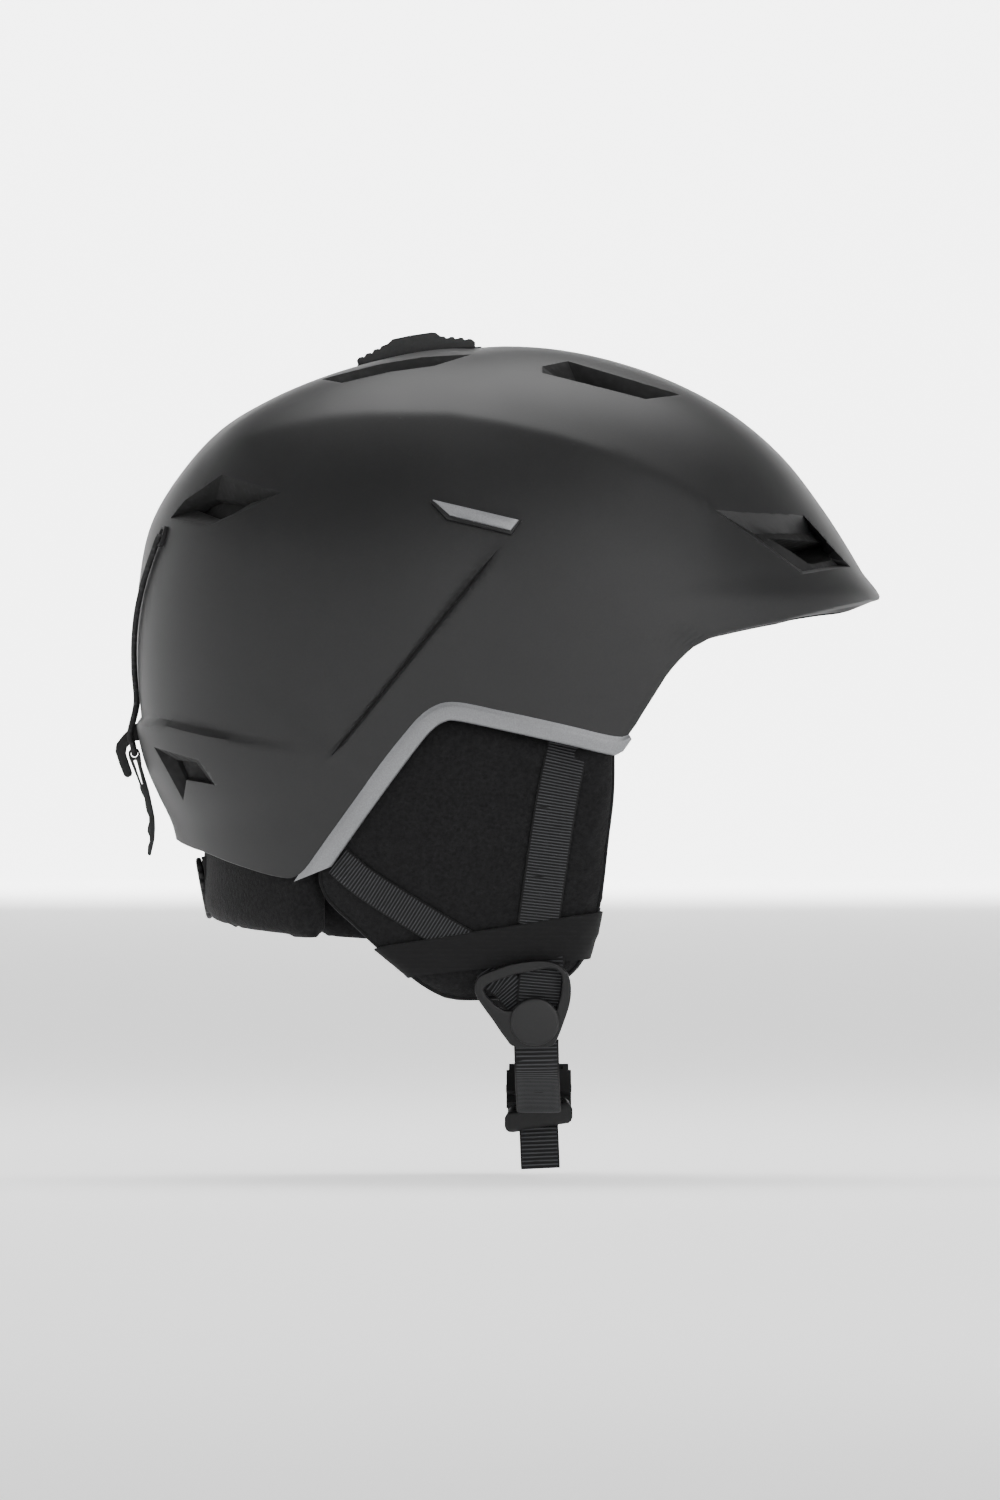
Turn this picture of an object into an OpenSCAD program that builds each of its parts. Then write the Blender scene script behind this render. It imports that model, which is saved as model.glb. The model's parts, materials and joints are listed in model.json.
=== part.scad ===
// Ski helmet: hard shell with a brim, foam liner, ear pads, fit dial, goggle retainer and buckled
// chin strap. +X is the front, +Y the wearer's left, +Z up. Millimetres.
// The origin is the centre of the head cavity. Right-hand pieces are drawn at -Y and mirrored.

/* [Shell] */
// Distance from the head centre to the brim's tip
brim_reach = 159; // [140:1:180]
// Distance from the head centre to the back of the shell
back_reach = 128.5; // [115:0.5:145]
// Half the width of the shell
half_width = 107; // [98:0.5:125]
// Height of the crown above the head centre
crown_height = 111.3; // [100:0.1:130]
// Wall of the moulded shell
shell_wall = 3; // [2:0.5:4]
// Squareness of the shell seen from above
plan_power = 2.4; // [2:0.1:2.8]
// Width of the edge trim round the ear cut-outs
trim_width = 6.6; // [5:0.2:9]
// Thickness of the edge trim
trim_thick = 3.4; // [2.5:0.2:5]

/* [Liner] */
// Half the length of the cavity in the impact foam
cavity_length = 101; // [90:1:106]
// Half the width of the cavity in the impact foam
cavity_width = 81; // [70:1:88]
// Height of the foam cavity above the head centre
cavity_height = 84; // [72:1:90]
// Thickness of the comfort pads
comfort_pad = 6.5; // [4:0.5:9]
// Thickness of each ear pad
ear_pad_thick = 14; // [9:0.5:17]
// How far the ear pads lie inside the shell's outer surface
ear_pad_inset = 6; // [5:0.5:9]
// Thickness of the neck pad
neck_pad_thick = 15; // [13:0.5:18]

/* [Webbing] */
// Width of the side webbing
side_web = 16; // [14:0.5:20]
// Width of the chin webbing
chin_web = 17; // [15:0.5:20]
// Thickness of all webbing
web_thick = 1.5; // [1:0.1:2]
// Length of the loose end below the ladder lock
tail_length = 23; // [16:1:40]

/* [Fit dial] */
// Diameter of the dial
dial_d = 24; // [20:0.5:26]
// Thickness of the dial's disc
dial_thick = 2.4; // [2:0.1:4]
// Lean of the dial from upright, degrees
dial_lean = 11; // [6:1:16]
// Pitch radius of the pinion on the dial
pinion_r = 4.5; // [4.2:0.1:4.8]

/* [Vent slider] */
// Width of the slider's thumb piece
slider_width = 17; // [14:0.5:20]
// Thickness of the shutter under the shell
shutter_thick = 1.6; // [1.2:0.1:1.8]

/* [Buckle] */
// Width of the buckle and its ladder lock
buckle_width = 25; // [24:0.5:28]
// Thickness of the buckle's socket
buckle_thick = 7; // [6.5:0.25:8]

/* [Goggle retainer] */
// Diameter of the elastic cord
cord_d = 2.6; // [2:0.2:3]
// Width of the rear hook
hook_width = 8; // [6:0.5:10]

/* [Hidden] */

gap = 0.4;          // clearance between neighbouring pieces
levels = 12;        // steps from the edge to the crown
top_lat = 87;       // latitude at which the crown is closed
// Bearings of the shell's points on one side, closer together where its edge turns
half_bearings = concat([0, 7, 14, 21, 28, 34], [for (b = [39 : 3 : 66]) b], [72, 78, 84, 90],
    [for (b = [94 : 4 : 134]) b], [140, 147, 155, 163, 172, 180]);
bearings = concat(half_bearings, [for (i = [len(half_bearings) - 2 : -1 : 1]) 360 - half_bearings[i]]);

black = [0.13, 0.13, 0.14];
soft_black = [0.09, 0.09, 0.1];
silver = [0.66, 0.67, 0.68];
foam_grey = [0.2, 0.2, 0.21];

// ---- Outlines, [x, z], chosen for a 159 / 128.5 / 111.3 shell and scaled to the sizes above ----
front_outline = [
    [90, -150], [115, -120], [140, -70], [153, -30], [159, 0], [158.5, 16], [151, 26.6],
    [136.4, 49.7], [120.7, 69.7], [102, 85.6], [81.3, 97], [60.3, 104.5], [40, 109],
    [20, 111], [0, 111.3]
];
back_outline = [
    [90, -150], [100, -122], [108, -95], [112.5, -77], [114.5, -69], [119.5, -58], [124, -46],
    [127.2, -22], [128.5, 0], [127.4, 22], [122.6, 44.6], [111, 64], [95.8, 80.4], [77, 91.8],
    [57.7, 99.9], [38.4, 105.5], [19.3, 109.4], [0, 111.3]
];
// Lower edge of the shell, from the brim back to the nape, seen from the side
edge_outline = [
    [154.5, 12.8], [146, 10.6], [135, 8.8], [123, 7], [111, 4.8], [100, 2.4], [93, 0.6],
    [88, -2.4], [82, -7], [76, -13.4], [71, -21], [65.5, -29.6], [61, -36.5], [56, -37.6],
    [40, -34], [12, -27.8], [-4, -24.6], [-11, -25], [-18, -29], [-26, -38], [-45, -63.5],
    [-61, -86], [-67, -91.2], [-75, -90.6], [-87, -87], [-103, -81]
];
// Ear pad, anticlockwise seen from the right
ear_outline = [
    [54.5, -40.5], [25, -35.5], [2, -30.5], [-8, -28.8], [-15, -31.5], [-25, -44],
    [-42, -67], [-56, -88], [-56, -98], [-46, -109], [-37.5, -117], [-31.5, -122.5],
    [-25, -128], [-17.5, -133.5], [-9.5, -137.5], [-1, -138.6], [12, -138], [24, -136],
    [34, -132.5], [41.6, -127], [46, -120.5], [49.5, -109.5], [52, -97], [54.5, -75], [56, -57]
];
// Lower smooth panel of the ear pad
sleeve_outline = [
    [49, -101.5], [35, -104], [18, -107], [0, -110], [-18, -113.5], [-34, -117.2],
    [-30.5, -121.5], [-24, -127.2], [-16.5, -132.4], [-9, -136], [-1, -137.2], [12, -136.6],
    [23.5, -134.6], [33, -131.2], [40.6, -125.8], [45, -119.5], [48, -109]
];
front_web = [[38.5, -31], [36.5, -45], [33, -62], [29, -88], [26.2, -112], [25.5, -126]];
rear_web = [[-52, -87], [-41, -93.5], [-28, -101], [-9, -112], [3, -118.6]];
vent_front = [[112.6, 37.7], [134.4, 35.8], [134.4, 28.9], [125.9, 27.7]];
vent_top_front = [[33.9, 101.3], [37.3, 105.7], [80.9, 92.8], [68.9, 91.6]];
vent_top_rear = [[-56.5, 98.3], [-34.3, 104.4], [-18.5, 107.2], [1.2, 108.2], [-13.5, 103.5],
    [-30.4, 101.3], [-48.9, 96.5]];
vent_rear_high = [[-97, 53.3], [-83.5, 51.4], [-95.1, 45.2], [-104.3, 48.9]];
vent_rear_low = [[-112.4, -45.4], [-104.1, -46.6], [-97.4, -55], [-108.2, -53.9]];
badge_face = [[-13.9, 51.4], [18.6, 43.9], [15.6, 40.1], [-7.4, 45.7]];
badge_foot = [[-14.8, 51.2], [19.4, 44], [15.8, 38.9], [-8.4, 44.6]];

// ---- Shell surface ----
scale_front = brim_reach / 159;
scale_back = back_reach / 128.5;
scale_up = crown_height / 111.3;
function sized(p) = [p[0] * (p[0] < 0 ? scale_back : scale_front), p[1] * scale_up];
function polar(points, k) = [for (p = points) let (q = [p[0] * k, p[1] * scale_up])
    [atan2(q[1], q[0]), norm(q)]];
front_polar = polar(front_outline, scale_front);
back_polar = polar(back_outline, scale_back);

// Smooth curve through a table of [x, y], x rising
function rise(t, i) = (i == 0 || i == len(t) - 1) ? 0
    : (t[i + 1][1] - t[i - 1][1]) / (t[i + 1][0] - t[i - 1][0]);
function smooth(t, x) = let (
        found = [for (k = [0 : len(t) - 2]) if (t[k][0] <= x) k],
        i = len(found) == 0 ? 0 : max(found),
        w = t[i + 1][0] - t[i][0],
        s = min(max((x - t[i][0]) / w, 0), 1)
    ) t[i][1] * (1 + 2 * s) * (1 - s) * (1 - s) + t[i + 1][1] * s * s * (3 - 2 * s)
    + w * rise(t, i) * s * (1 - s) * (1 - s) - w * rise(t, i + 1) * s * s * (1 - s);

// Radius of the side meridian at a latitude: round above the centre, tucking in gently below it
side_tuck = 0.0013;
function side_radius(lat) = lat >= 0
    ? pow(pow(cos(lat) / half_width, plan_power) + pow(sin(lat) / crown_height, plan_power),
        -1 / plan_power)
    : lat > -0.5 ? half_width
    : let (c = side_tuck * sin(lat) * sin(lat))
        (sqrt(cos(lat) * cos(lat) + 4 * c * half_width) - cos(lat)) / (2 * c);
function shell_radius(d) = let (
        h = max(norm([d[0], d[1]]), 0.000001),
        lat = atan2(d[2], h),
        mid = smooth(d[0] >= 0 ? front_polar : back_polar, lat),
        power = 2 + (plan_power - (d[0] < 0 ? 2.2 : 2)) * cos(lat)
    ) pow(pow(abs(d[0]) / h / mid, power) + pow(abs(d[1]) / h / side_radius(lat), power), -1 / power);
// Half-width of the shell's surface at a place seen from the side
function side_y(x, z, low = 0, high = 180, tries = 22) = tries == 0 ? low
    : let (y = (low + high) / 2)
        norm([x, y, z]) < shell_radius([x, y, z]) ? side_y(x, z, y, high, tries - 1)
        : side_y(x, z, low, y, tries - 1);
// How far back the shell's surface lies at a place seen from behind
function back_x(y, z, low = 0, high = 200, tries = 22) = tries == 0 ? -low
    : let (x = (low + high) / 2)
        norm([x, y, z]) < shell_radius([-x, y, z]) ? back_x(y, z, x, high, tries - 1)
        : back_x(y, z, low, x, tries - 1);
// Height of the shell's surface on its centre line, or off it
function top_z(x, y = 0, low = 0, high = 200, tries = 22) = tries == 0 ? low
    : let (z = (low + high) / 2)
        norm([x, y, z]) < shell_radius([x, y, z]) ? top_z(x, y, z, high, tries - 1)
        : top_z(x, y, low, z, tries - 1);
// A point on the right side of the shell, pushed out by lift
function on_side(p, lift = 0) = let (q = [p[0], -side_y(p[0], p[1]), p[1]]) q * (1 + lift / norm(q));
function unit(v) = v / norm(v);
function normal_at(p) = let (
        q = [p[0], -side_y(p[0], p[1]), p[1]],
        along = [p[0] + 1, -side_y(p[0] + 1, p[1]), p[1]] - q,
        up = [p[0], -side_y(p[0], p[1] + 1), p[1] + 1] - q
    ) unit(cross(along, up));

// Latitude of the shell's edge at each bearing from the front
edge_points = [for (p = edge_outline) on_side(sized(p))];
edge_table = concat(
    [[0, atan2(16 * scale_up, 158.5 * scale_front)]],
    [for (q = edge_points) [atan2(-q[1], q[0]), atan2(q[2], norm([q[0], q[1]]))]],
    [[180, atan2(-77 * scale_up, 112.5 * scale_back)]]
);
function edge_lat(bearing) = smooth(edge_table, bearing > 180 ? 360 - bearing : bearing);
function direction(bearing, lat) = [cos(lat) * cos(bearing), cos(lat) * sin(bearing), sin(lat)];
function shell_point(bearing, lat, depth) = let (d = direction(bearing, lat))
    d * (shell_radius(d) - depth);

// ---- Foam cavity ----
function cavity_radius(d, inset = 0) = let (
        a = cavity_length - inset, b = cavity_width - inset,
        c = min(cavity_height, crown_height - 24) - inset,
        h = pow(pow(abs(d[0]) / a, 2.2) + pow(abs(d[1]) / b, 2.2), 1 / 2.2)
    ) d[2] <= 0 ? 1 / h : pow(pow(h, 2.2) + pow(d[2] / c, 2.2), -1 / 2.2);

// ---- Builders ----
// Solid through rings of points, each turning right-handed about the way the rings advance
module skin(rings, closed = false) {
    n = len(rings[0]);
    m = len(rings);
    sides = [for (i = [0 : m - (closed ? 1 : 2)], k = [0 : n - 1]) let (j = (i + 1) % m)
        [j * n + k, j * n + (k + 1) % n, i * n + (k + 1) % n, i * n + k]];
    caps = closed ? [] : [[for (k = [0 : n - 1]) k], [for (k = [n - 1 : -1 : 0]) (m - 1) * n + k]];
    polyhedron([for (r = rings) each r], concat(caps, sides), convexity = 6);
}
// Flat band along a path: at each place a point and the direction of its width
// The band may gather to a narrow end over its first or last few steps
module ribbon(path, widths, width, thick, gather_first = 0, gather_last = 0) {
    last = len(path) - 1;
    skin([for (i = [0 : last]) let (
            t = unit(path[min(i + 1, last)] - path[max(i - 1, 0)]),
            w = unit(widths[i] - t * (widths[i] * t)),
            near = min(gather_first > 0 ? i / gather_first : 1, gather_last > 0 ? (last - i) / gather_last : 1, 1),
            n = cross(t, w), a = w * width * (0.25 + 0.75 * near) / 2, b = n * thick / 2)
        [path[i] + a + b, path[i] - a + b, path[i] - a - b, path[i] + a - b]]);
}
// Smooth path through points, with extra steps between them
function between(p, i, s) = let (
        a = p[max(i - 1, 0)], b = p[i], c = p[i + 1], d = p[min(i + 2, len(p) - 1)]
    ) b * (1 - s) * (1 - s) * (1 + 2 * s) + c * s * s * (3 - 2 * s)
    + (c - a) / 2 * s * (1 - s) * (1 - s) - (d - b) / 2 * s * s * (1 - s);
function smooth_path(p, steps) = concat(
    [for (i = [0 : len(p) - 2], k = [0 : steps - 1]) between(p, i, k / steps)], [p[len(p) - 1]]);
// Round tube along a path in space
module tube(path, r, sides = 8) {
    last = len(path) - 1;
    skin([for (i = [0 : last]) let (
            t = unit(path[min(i + 1, last)] - path[max(i - 1, 0)]),
            w = unit(cross(t, [1, 0.013, 0])), n = cross(t, w))
        [for (k = [0 : sides - 1]) path[i] + r * (w * cos(360 * k / sides) + n * sin(360 * k / sides))]]);
}
// Closed cushion over a side outline, between two depths below the shell's outer surface
module cushion(outline, outer, inner, round) {
    mid = [for (a = [0, 1]) (min([for (p = outline) p[a]]) + max([for (p = outline) p[a]])) / 2];
    steps = [[0.1, inner], [0.5, inner], [0.9, inner], [1, inner - round], [1, outer + round],
        [0.9, outer], [0.5, outer], [0.1, outer]];
    skin([for (s = steps) [for (p = outline) let (q = mid + (p - mid) * s[0])
        [q[0], -(side_y(q[0], q[1]) - s[1]), q[1]]]]);
}
module left() { mirror([0, 1, 0]) children(); }
// Cutter through the shell or foam over a side outline, towards the head centre
module side_cutter(outline, from, to) {
    hull() for (p = outline, k = [from, to]) {
        q = [p[0], -side_y(p[0], p[1]), p[1]];
        translate(q - unit(q) * k) cube(0.1, center = true);
    }
}

// ---- Crown arc that the vent slider runs on ----
arc_a = [-44 * scale_back, top_z(-44 * scale_back)];
arc_b = [-20 * scale_back, top_z(-20 * scale_back)];
arc_c = [3, top_z(3)];
function circle_centre(a, b, c) = let (
        d = 2 * (a[0] * (b[1] - c[1]) + b[0] * (c[1] - a[1]) + c[0] * (a[1] - b[1])),
        aa = a * a, bb = b * b, cc = c * c
    ) [(aa * (b[1] - c[1]) + bb * (c[1] - a[1]) + cc * (a[1] - b[1])) / d,
    (aa * (c[0] - b[0]) + bb * (a[0] - c[0]) + cc * (b[0] - a[0])) / d];
arc_centre = circle_centre(arc_a, arc_b, arc_c);
arc_r = norm(arc_a - arc_centre);
function arc_angle(x) = asin((x - arc_centre[0]) / arc_r);
function arc_point(x, lift) = let (a = arc_angle(x))
    arc_centre + (arc_r + lift) * [sin(a), cos(a)];
slider_play = 9;      // travel of the slider along the crown
stem = [7, 5];        // length and width of the stem through the shell
stem_x = -18 * scale_back;
shutter_drop = 5.3;     // depth of the shutter's middle below the shell's outer surface
port_pitch = 14;      // distance between the shutter's windows
port_length = 5.6;
port_x = [-44, -30, -16];
port_y = [14, 27];
// Piece bent along the crown arc from x0 to x1, with its section in [radius, y]
module crown_arc(x0, x1) {
    a0 = arc_angle(x0);
    a1 = arc_angle(x1);
    translate([arc_centre[0], 0, arc_centre[1]]) rotate([90, 0, 0]) rotate([0, 0, 90 - a1])
        rotate_extrude(angle = a1 - a0, $fn = 180) children();
}

// ---- Shell, liner and trim ----
foam_lift = 1.5;  // the foam stops this many degrees above the shell's edge
module bowl(outer_depth, first, inner) {
    skin(concat(
        [for (j = [levels : -1 : first]) bowl_ring(j, 0, inner)],
        [for (j = [first : levels]) bowl_ring(j, outer_depth, false)]));
}
// Row 0 is the shell's edge and row 1 the foam's
function bowl_ring(j, depth, inner) = [for (b = bearings) let (
        e = edge_lat(b), f = e + foam_lift,
        lat = j == 0 ? e : f + (top_lat - f) * (j - 1) / (levels - 1), d = direction(b, lat))
    inner == "cavity" ? d * min(cavity_radius(d), shell_radius(d) - shell_wall - 9)
    : inner == "wall" ? d * (shell_radius(d) - shell_wall)
    : d * (shell_radius(d) - depth - (depth > 0 ? crown_relief(lat) : 0))];
// The foam is set back at the crown to leave room for the shutter
relief = 5.7;
function crown_relief(lat) = relief * min(max((lat - 42) / 12, 0), 1);

module shell() {
    color(black) difference() {
        bowl(0, 0, "wall");
        for (side = [0, 1]) mirror([0, side, 0]) {
            side_cutter(vent_front, -12, 14);
            side_cutter(vent_top_front, -12, 14);
            side_cutter(vent_top_rear, -12, 14);
            side_cutter(vent_rear_high, -12, 14);
            side_cutter(vent_rear_low, -12, 14);
        }
        // slot of the slider's stem
        translate([stem_x + slider_play / 2, 0, arc_b[1]])
            cube([stem[0] + slider_play + 2, stem[1] + 1, 30], center = true);
    }
}
module foam_liner() {
    color(foam_grey) difference() {
        bowl(shell_wall + gap, 1, "cavity");
        for (side = [0, 1]) mirror([0, side, 0]) {
            side_cutter(vent_front, 0, 70);
            side_cutter(vent_top_front, 0, 60);
            side_cutter(vent_rear_high, 0, 60);
            side_cutter(vent_rear_low, 0, 60);
            for (x = port_x)
                hull() for (y = port_y, z = [60, 130], s = [-0.5, 0.5])
                    translate([x + s * port_length, -y, z]) cube(0.1, center = true);
            for (p = anchor_places) at_anchor(p) translate([0, 0, -gap]) cylinder(r = 4, h = 3, $fn = 32);
        }
    }
}
// Path of the shell's edge round the ear cut-out, from the face to the tip behind the ear
trim_first = 12;
trim_last = 22;
trim_path = smooth_path([for (i = [trim_first : trim_last]) edge_outline[i]], 3);
trim_section = [[0.2, 0.5], [0.06, 0.9], [0.2, 1], [0.8, 1], [0.95, 0.8], [1, 0.45], [0.9, 0.05],
    [0.25, 0.05]];
module edge_trim_right() {
    last = len(trim_path) - 1;
    color(silver) skin([for (i = [0 : last]) let (
            p = sized(trim_path[i]), q = on_side(p),
            t = unit(on_side(sized(trim_path[min(i + 1, last)])) - on_side(sized(trim_path[max(i - 1, 0)]))),
            n = normal_at(p), w = cross(n, t))
        [for (s = trim_section) q + w * (gap + s[0] * trim_width) - n * (trim_thick * (1 - s[1]) - 0.3)]]);
}
module edge_trim_left() { left() edge_trim_right(); }

// ---- Badge: a plain plate on a foot ----
module plaque(outline, low, high) {
    skin([for (k = [low, high]) [for (i = [len(outline) - 1 : -1 : 0]) on_side(sized(outline[i]), k)]]);
}
badge_steps = 6;
function along_badge(o) = concat(
    [for (i = [0 : badge_steps]) o[0] + (o[1] - o[0]) * i / badge_steps],
    [for (i = [0 : badge_steps - 1]) o[2] + (o[3] - o[2]) * i / badge_steps], [o[3]]);
module badge_base_right() { color(black) plaque(along_badge(badge_foot), 0.35, 2); }
module badge_base_left() { left() badge_base_right(); }
module badge_plate_right() { color(silver) plaque(along_badge(badge_face), 2.1, 3.1); }
module badge_plate_left() { left() badge_plate_right(); }

// ---- Comfort pads ----
pad_low = 48;   // lowest latitude of the crown pad
module crown_pad() {
    steps = 4;
    function pad_ring(j, inset) = [for (i = [0 : 35]) let (
            d = direction(i * 10, pad_low + (top_lat - pad_low) * j / steps))
        d * cavity_radius(d, inset)];
    color(soft_black) skin(concat(
        [for (j = [steps : -1 : 0]) pad_ring(j, comfort_pad)],
        [for (j = [0 : steps]) pad_ring(j, 2.4)]));
}
module brow_pad() {
    span = 66;
    color(soft_black) skin([for (i = [-11 : 11]) let (b = i * span / 11, e = edge_lat(abs(b)) + 4)
        [for (c = [[e, 2.2], [e, comfort_pad], [26, comfort_pad], [26, 2.2]]) let (d = direction(b, c[0]))
            d * cavity_radius(d, c[1])]]);
}

// ---- Fit dial and neck pad, in a frame leaning with the dial ----
dial_at = [-102.4 * scale_back, 0, -95.5 * scale_up];
band_r = 71.6;                       // radius of the fit bands round the nape
disc_r = band_r + 6.9;               // distance of the dial's disc from the bands' centre
module nape() {
    translate(dial_at) rotate([0, -dial_lean, 0]) translate([disc_r, 0, 0]) rotate([0, 0, 180])
        children();
}
band_height = 16 * min(scale_up, 1);
band_thick = 1.2;
pinion_teeth = 9;
tooth_pitch = 2 * PI * pinion_r / pinion_teeth;
tooth_high = 0.75;
shaft_r = 2;
house_half = 17;
housing_high = 24 * min(scale_up, 1);
neck_span = 50 - 1.5 * max(ear_pad_thick - 14, 0);
neck_bearings = [for (i = [-14 : 14]) 180 + i * neck_span / 14];
wing_end = 61;      // where the neck pad's wings end behind the ear pads, in degrees
// Section of the neck pad at a bearing, from its outer radius inwards
function neck_ring(b, out, thick) = let (
        drop = abs(b - 180) * 0.14, side = direction(b, 0), ins = out - thick,
        top = shell_point(b, edge_lat(b), 0)[2] / scale_up - 1.5)
    [for (c = [[out - 2, top], [out, top - 2.5], [out, -101 - drop], [out - 2.6, -107 - drop],
        [out - min(7, thick / 2), -109 - drop], [ins + 2, -107 - drop], [ins, -100 - drop],
        [ins, top - 3], [ins + 2, top]]) [side[0] * c[0], side[1] * c[0], c[1] * scale_up]];
module neck_pad() {
    color(soft_black) difference() {
        skin([for (b = neck_bearings) neck_ring(b, side_pad_radius(b), neck_pad_thick)]);
        nape() {
            // channel of the fit bands
            rotate([0, 0, -52]) rotate_extrude(angle = 104, $fn = 120)
                translate([band_r - 1.2, -band_height / 2 - 0.7]) square([30, band_height + 1.4]);
            // pocket of the housing
            translate([band_r - 6.7, -house_half - 0.5, -housing_high / 2 - 0.5])
                cube([30, 2 * house_half + 1, housing_high + 1]);
        }
    }
}
// Thin wing that carries the neck pad on behind the ear pad
module neck_wing_right() {
    color(soft_black) skin([for (i = [0 : 6]) let (
            away = neck_span + gap + i * (wing_end - neck_span - gap) / 6,
            out = side_pad_radius(180 + away) - ear_pad_inset - ear_pad_thick - (away - 48) * 0.75)
        neck_ring(180 + away, out, neck_pad_thick * 0.6)]);
}
module neck_wing_left() { left() neck_wing_right(); }
// Outer radius of the neck pad at a bearing: inside the shell's lower wall
function side_pad_radius(b) = let (d = direction(b, -34), r = shell_radius(d)) r * cos(34) - 8.5;

module dial_housing() {
    color(black) nape() difference() {
        translate([band_r - 6.2, -house_half, -housing_high / 2]) cube([11.6, 2 * house_half, housing_high]);
        // chamber of the pinion and both racks
        rotate([0, 0, -20]) rotate_extrude(angle = 40, $fn = 180)
            translate([band_r - 1.5, -band_height / 2 - 0.5]) square([3, band_height + 1]);
        translate([band_r - 4.8, 0, 0]) rotate([0, 90, 0]) cylinder(r = shaft_r + 0.05, h = 20, $fn = 48);
    }
}
module fit_dial() {
    lobes = 18;
    color(soft_black) nape() translate([disc_r - dial_thick / 2, 0, 0]) rotate([0, 90, 0]) difference() {
        cylinder(d = dial_d, h = dial_thick, $fn = 72);
        for (i = [0 : lobes - 1]) rotate([0, 0, i * 360 / lobes])
            translate([dial_d / 2 + 0.6, 0, -1]) cylinder(r = 1.3, h = dial_thick + 2, $fn = 24);
    }
}
// Pinion with a shaft that reaches the dial's disc
module dial_pinion() {
    half = tooth_pitch / 4 - 0.16;
    color(silver) nape() translate([band_r, 0, 0]) rotate([0, 90, 0]) {
        translate([0, 0, -4.6]) cylinder(r = shaft_r, h = disc_r - dial_thick / 2 - band_r + 4.6, $fn = 48);
        for (i = [0 : pinion_teeth - 1]) rotate([0, 0, i * 360 / pinion_teeth + 180])
            translate([0, 0, -0.9]) linear_extrude(1.8)
                polygon([[1, -1], [pinion_r - tooth_high, -half - 0.2], [pinion_r + tooth_high, -half + 0.3],
                    [pinion_r + tooth_high, half - 0.3], [pinion_r - tooth_high, half + 0.2], [1, 1]]);
    }
}
// Arc strip round the nape in [bearing from, bearing to] and [low, high]
module nape_arc(a0, a1, z0, z1, thick = band_thick) {
    rotate([0, 0, a0]) rotate_extrude(angle = a1 - a0, $fn = 180)
        translate([band_r - thick / 2, z0]) square([thick, z1 - z0]);
}
band_end = 46;
rack_end = 11;                       // how far a rack reaches past the pinion
rack_start = 28;                     // where a band narrows to its rack
// Band with its rack above (sign 1) or below (sign -1) the pinion; first is the tooth's phase
module fit_band(sign, first) {
    step = tooth_pitch / band_r * 180 / PI;
    half = step / 4 + 0.1;
    tips = pinion_r - tooth_high + 0.35;
    root = pinion_r + tooth_high + 0.15;
    color(black) nape() mirror([0, 0, sign > 0 ? 0 : 1]) difference() {
        nape_arc(-rack_end, band_end, -band_height / 2, band_height / 2);
        nape_arc(-rack_end - 1, rack_start, -band_height, tips, 4);
        for (i = [-4 : 6]) let (a = (i + first + 0.5) * step)
            nape_arc(a - half, a + half, tips - 1, root, 4);
    }
}
module fit_band_left() { fit_band_at(-1, 1, 0.5); }
module fit_band_right() { fit_band_at(1, -1, 0); }
// The leaning frame is turned half round, so its +Y is the wearer's right
module fit_band_at(hand, sign, first) {
    if (hand > 0) fit_band(sign, first);
    else left() fit_band(sign, first);
}

// ---- Ear pads, sleeves and side webbing ----
module ear_pad_right() {
    color(soft_black) cushion([for (p = ear_outline) sized(p)], ear_pad_inset, ear_pad_inset + ear_pad_thick, 4);
}
module ear_pad_left() { left() ear_pad_right(); }
web_depth = ear_pad_inset - 2 * gap - web_thick / 2;        // depth of the webbing's middle
sleeve_inner = ear_pad_inset - web_thick - 3 * gap;
sleeve_outer = sleeve_inner - 1.4;
module ear_sleeve_right() {
    color(soft_black) cushion([for (p = sleeve_outline) sized(p)], sleeve_outer, sleeve_inner, 0.4);
}
module ear_sleeve_left() { left() ear_sleeve_right(); }
module side_strap(points, width) {
    path = smooth_path([for (p = points) sized(p)], 3);
    last = len(path) - 1;
    ribbon([for (p = path) on_side(p) - normal_at(p) * web_depth],
        [for (i = [0 : last]) let (t = unit(path[min(i + 1, last)] - path[max(i - 1, 0)]))
            cross(normal_at(path[i]), [t[0], 0, t[1]])], width, web_thick);
}
module strap_front_right() { color(soft_black) side_strap(front_web, side_web); }
module strap_front_left() { left() strap_front_right(); }
module strap_rear_right() { color(soft_black) side_strap(rear_web, side_web - 2); }
module strap_rear_left() { left() strap_rear_right(); }
// Rivets that hold the webbing's upper ends to the shell's wall
anchor_places = [[38.5, -24], [-58, -77]];
// Frame of a rivet on the inside of the shell's right wall, z towards the head
module at_anchor(p) {
    q = sized(p);
    n = normal_at(q);
    translate(on_side(q) - n * (shell_wall + gap)) rotate([0, acos(-n[2]), atan2(-n[1], -n[0])])
        children();
}
module strap_anchors() {
    color(silver) for (side = [0, 1], p = anchor_places) mirror([0, side, 0])
        at_anchor(p) cylinder(r = 3.4, h = 1.6, $fn = 32);
}

// ---- Strap dividers ----
divider_lean = 10;
divider_thick = 2.6;
divider_x = 25.5 * scale_front;
divider_z = -128 * scale_up;
divider_y = side_y(divider_x, divider_z) - sleeve_outer + gap + 1.35;
divider_outline = [[-23.4, -2.1], [-20.5, 1.4], [-10, 5.2], [-1, 6.6], [6, 6], [10.6, 3.4],
    [12.8, -1.5], [13, -7], [11.6, -14], [9, -21], [6.5, -26], [-10, -26], [-14, -20], [-19, -12.6],
    [-22.6, -6.5]];
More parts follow.
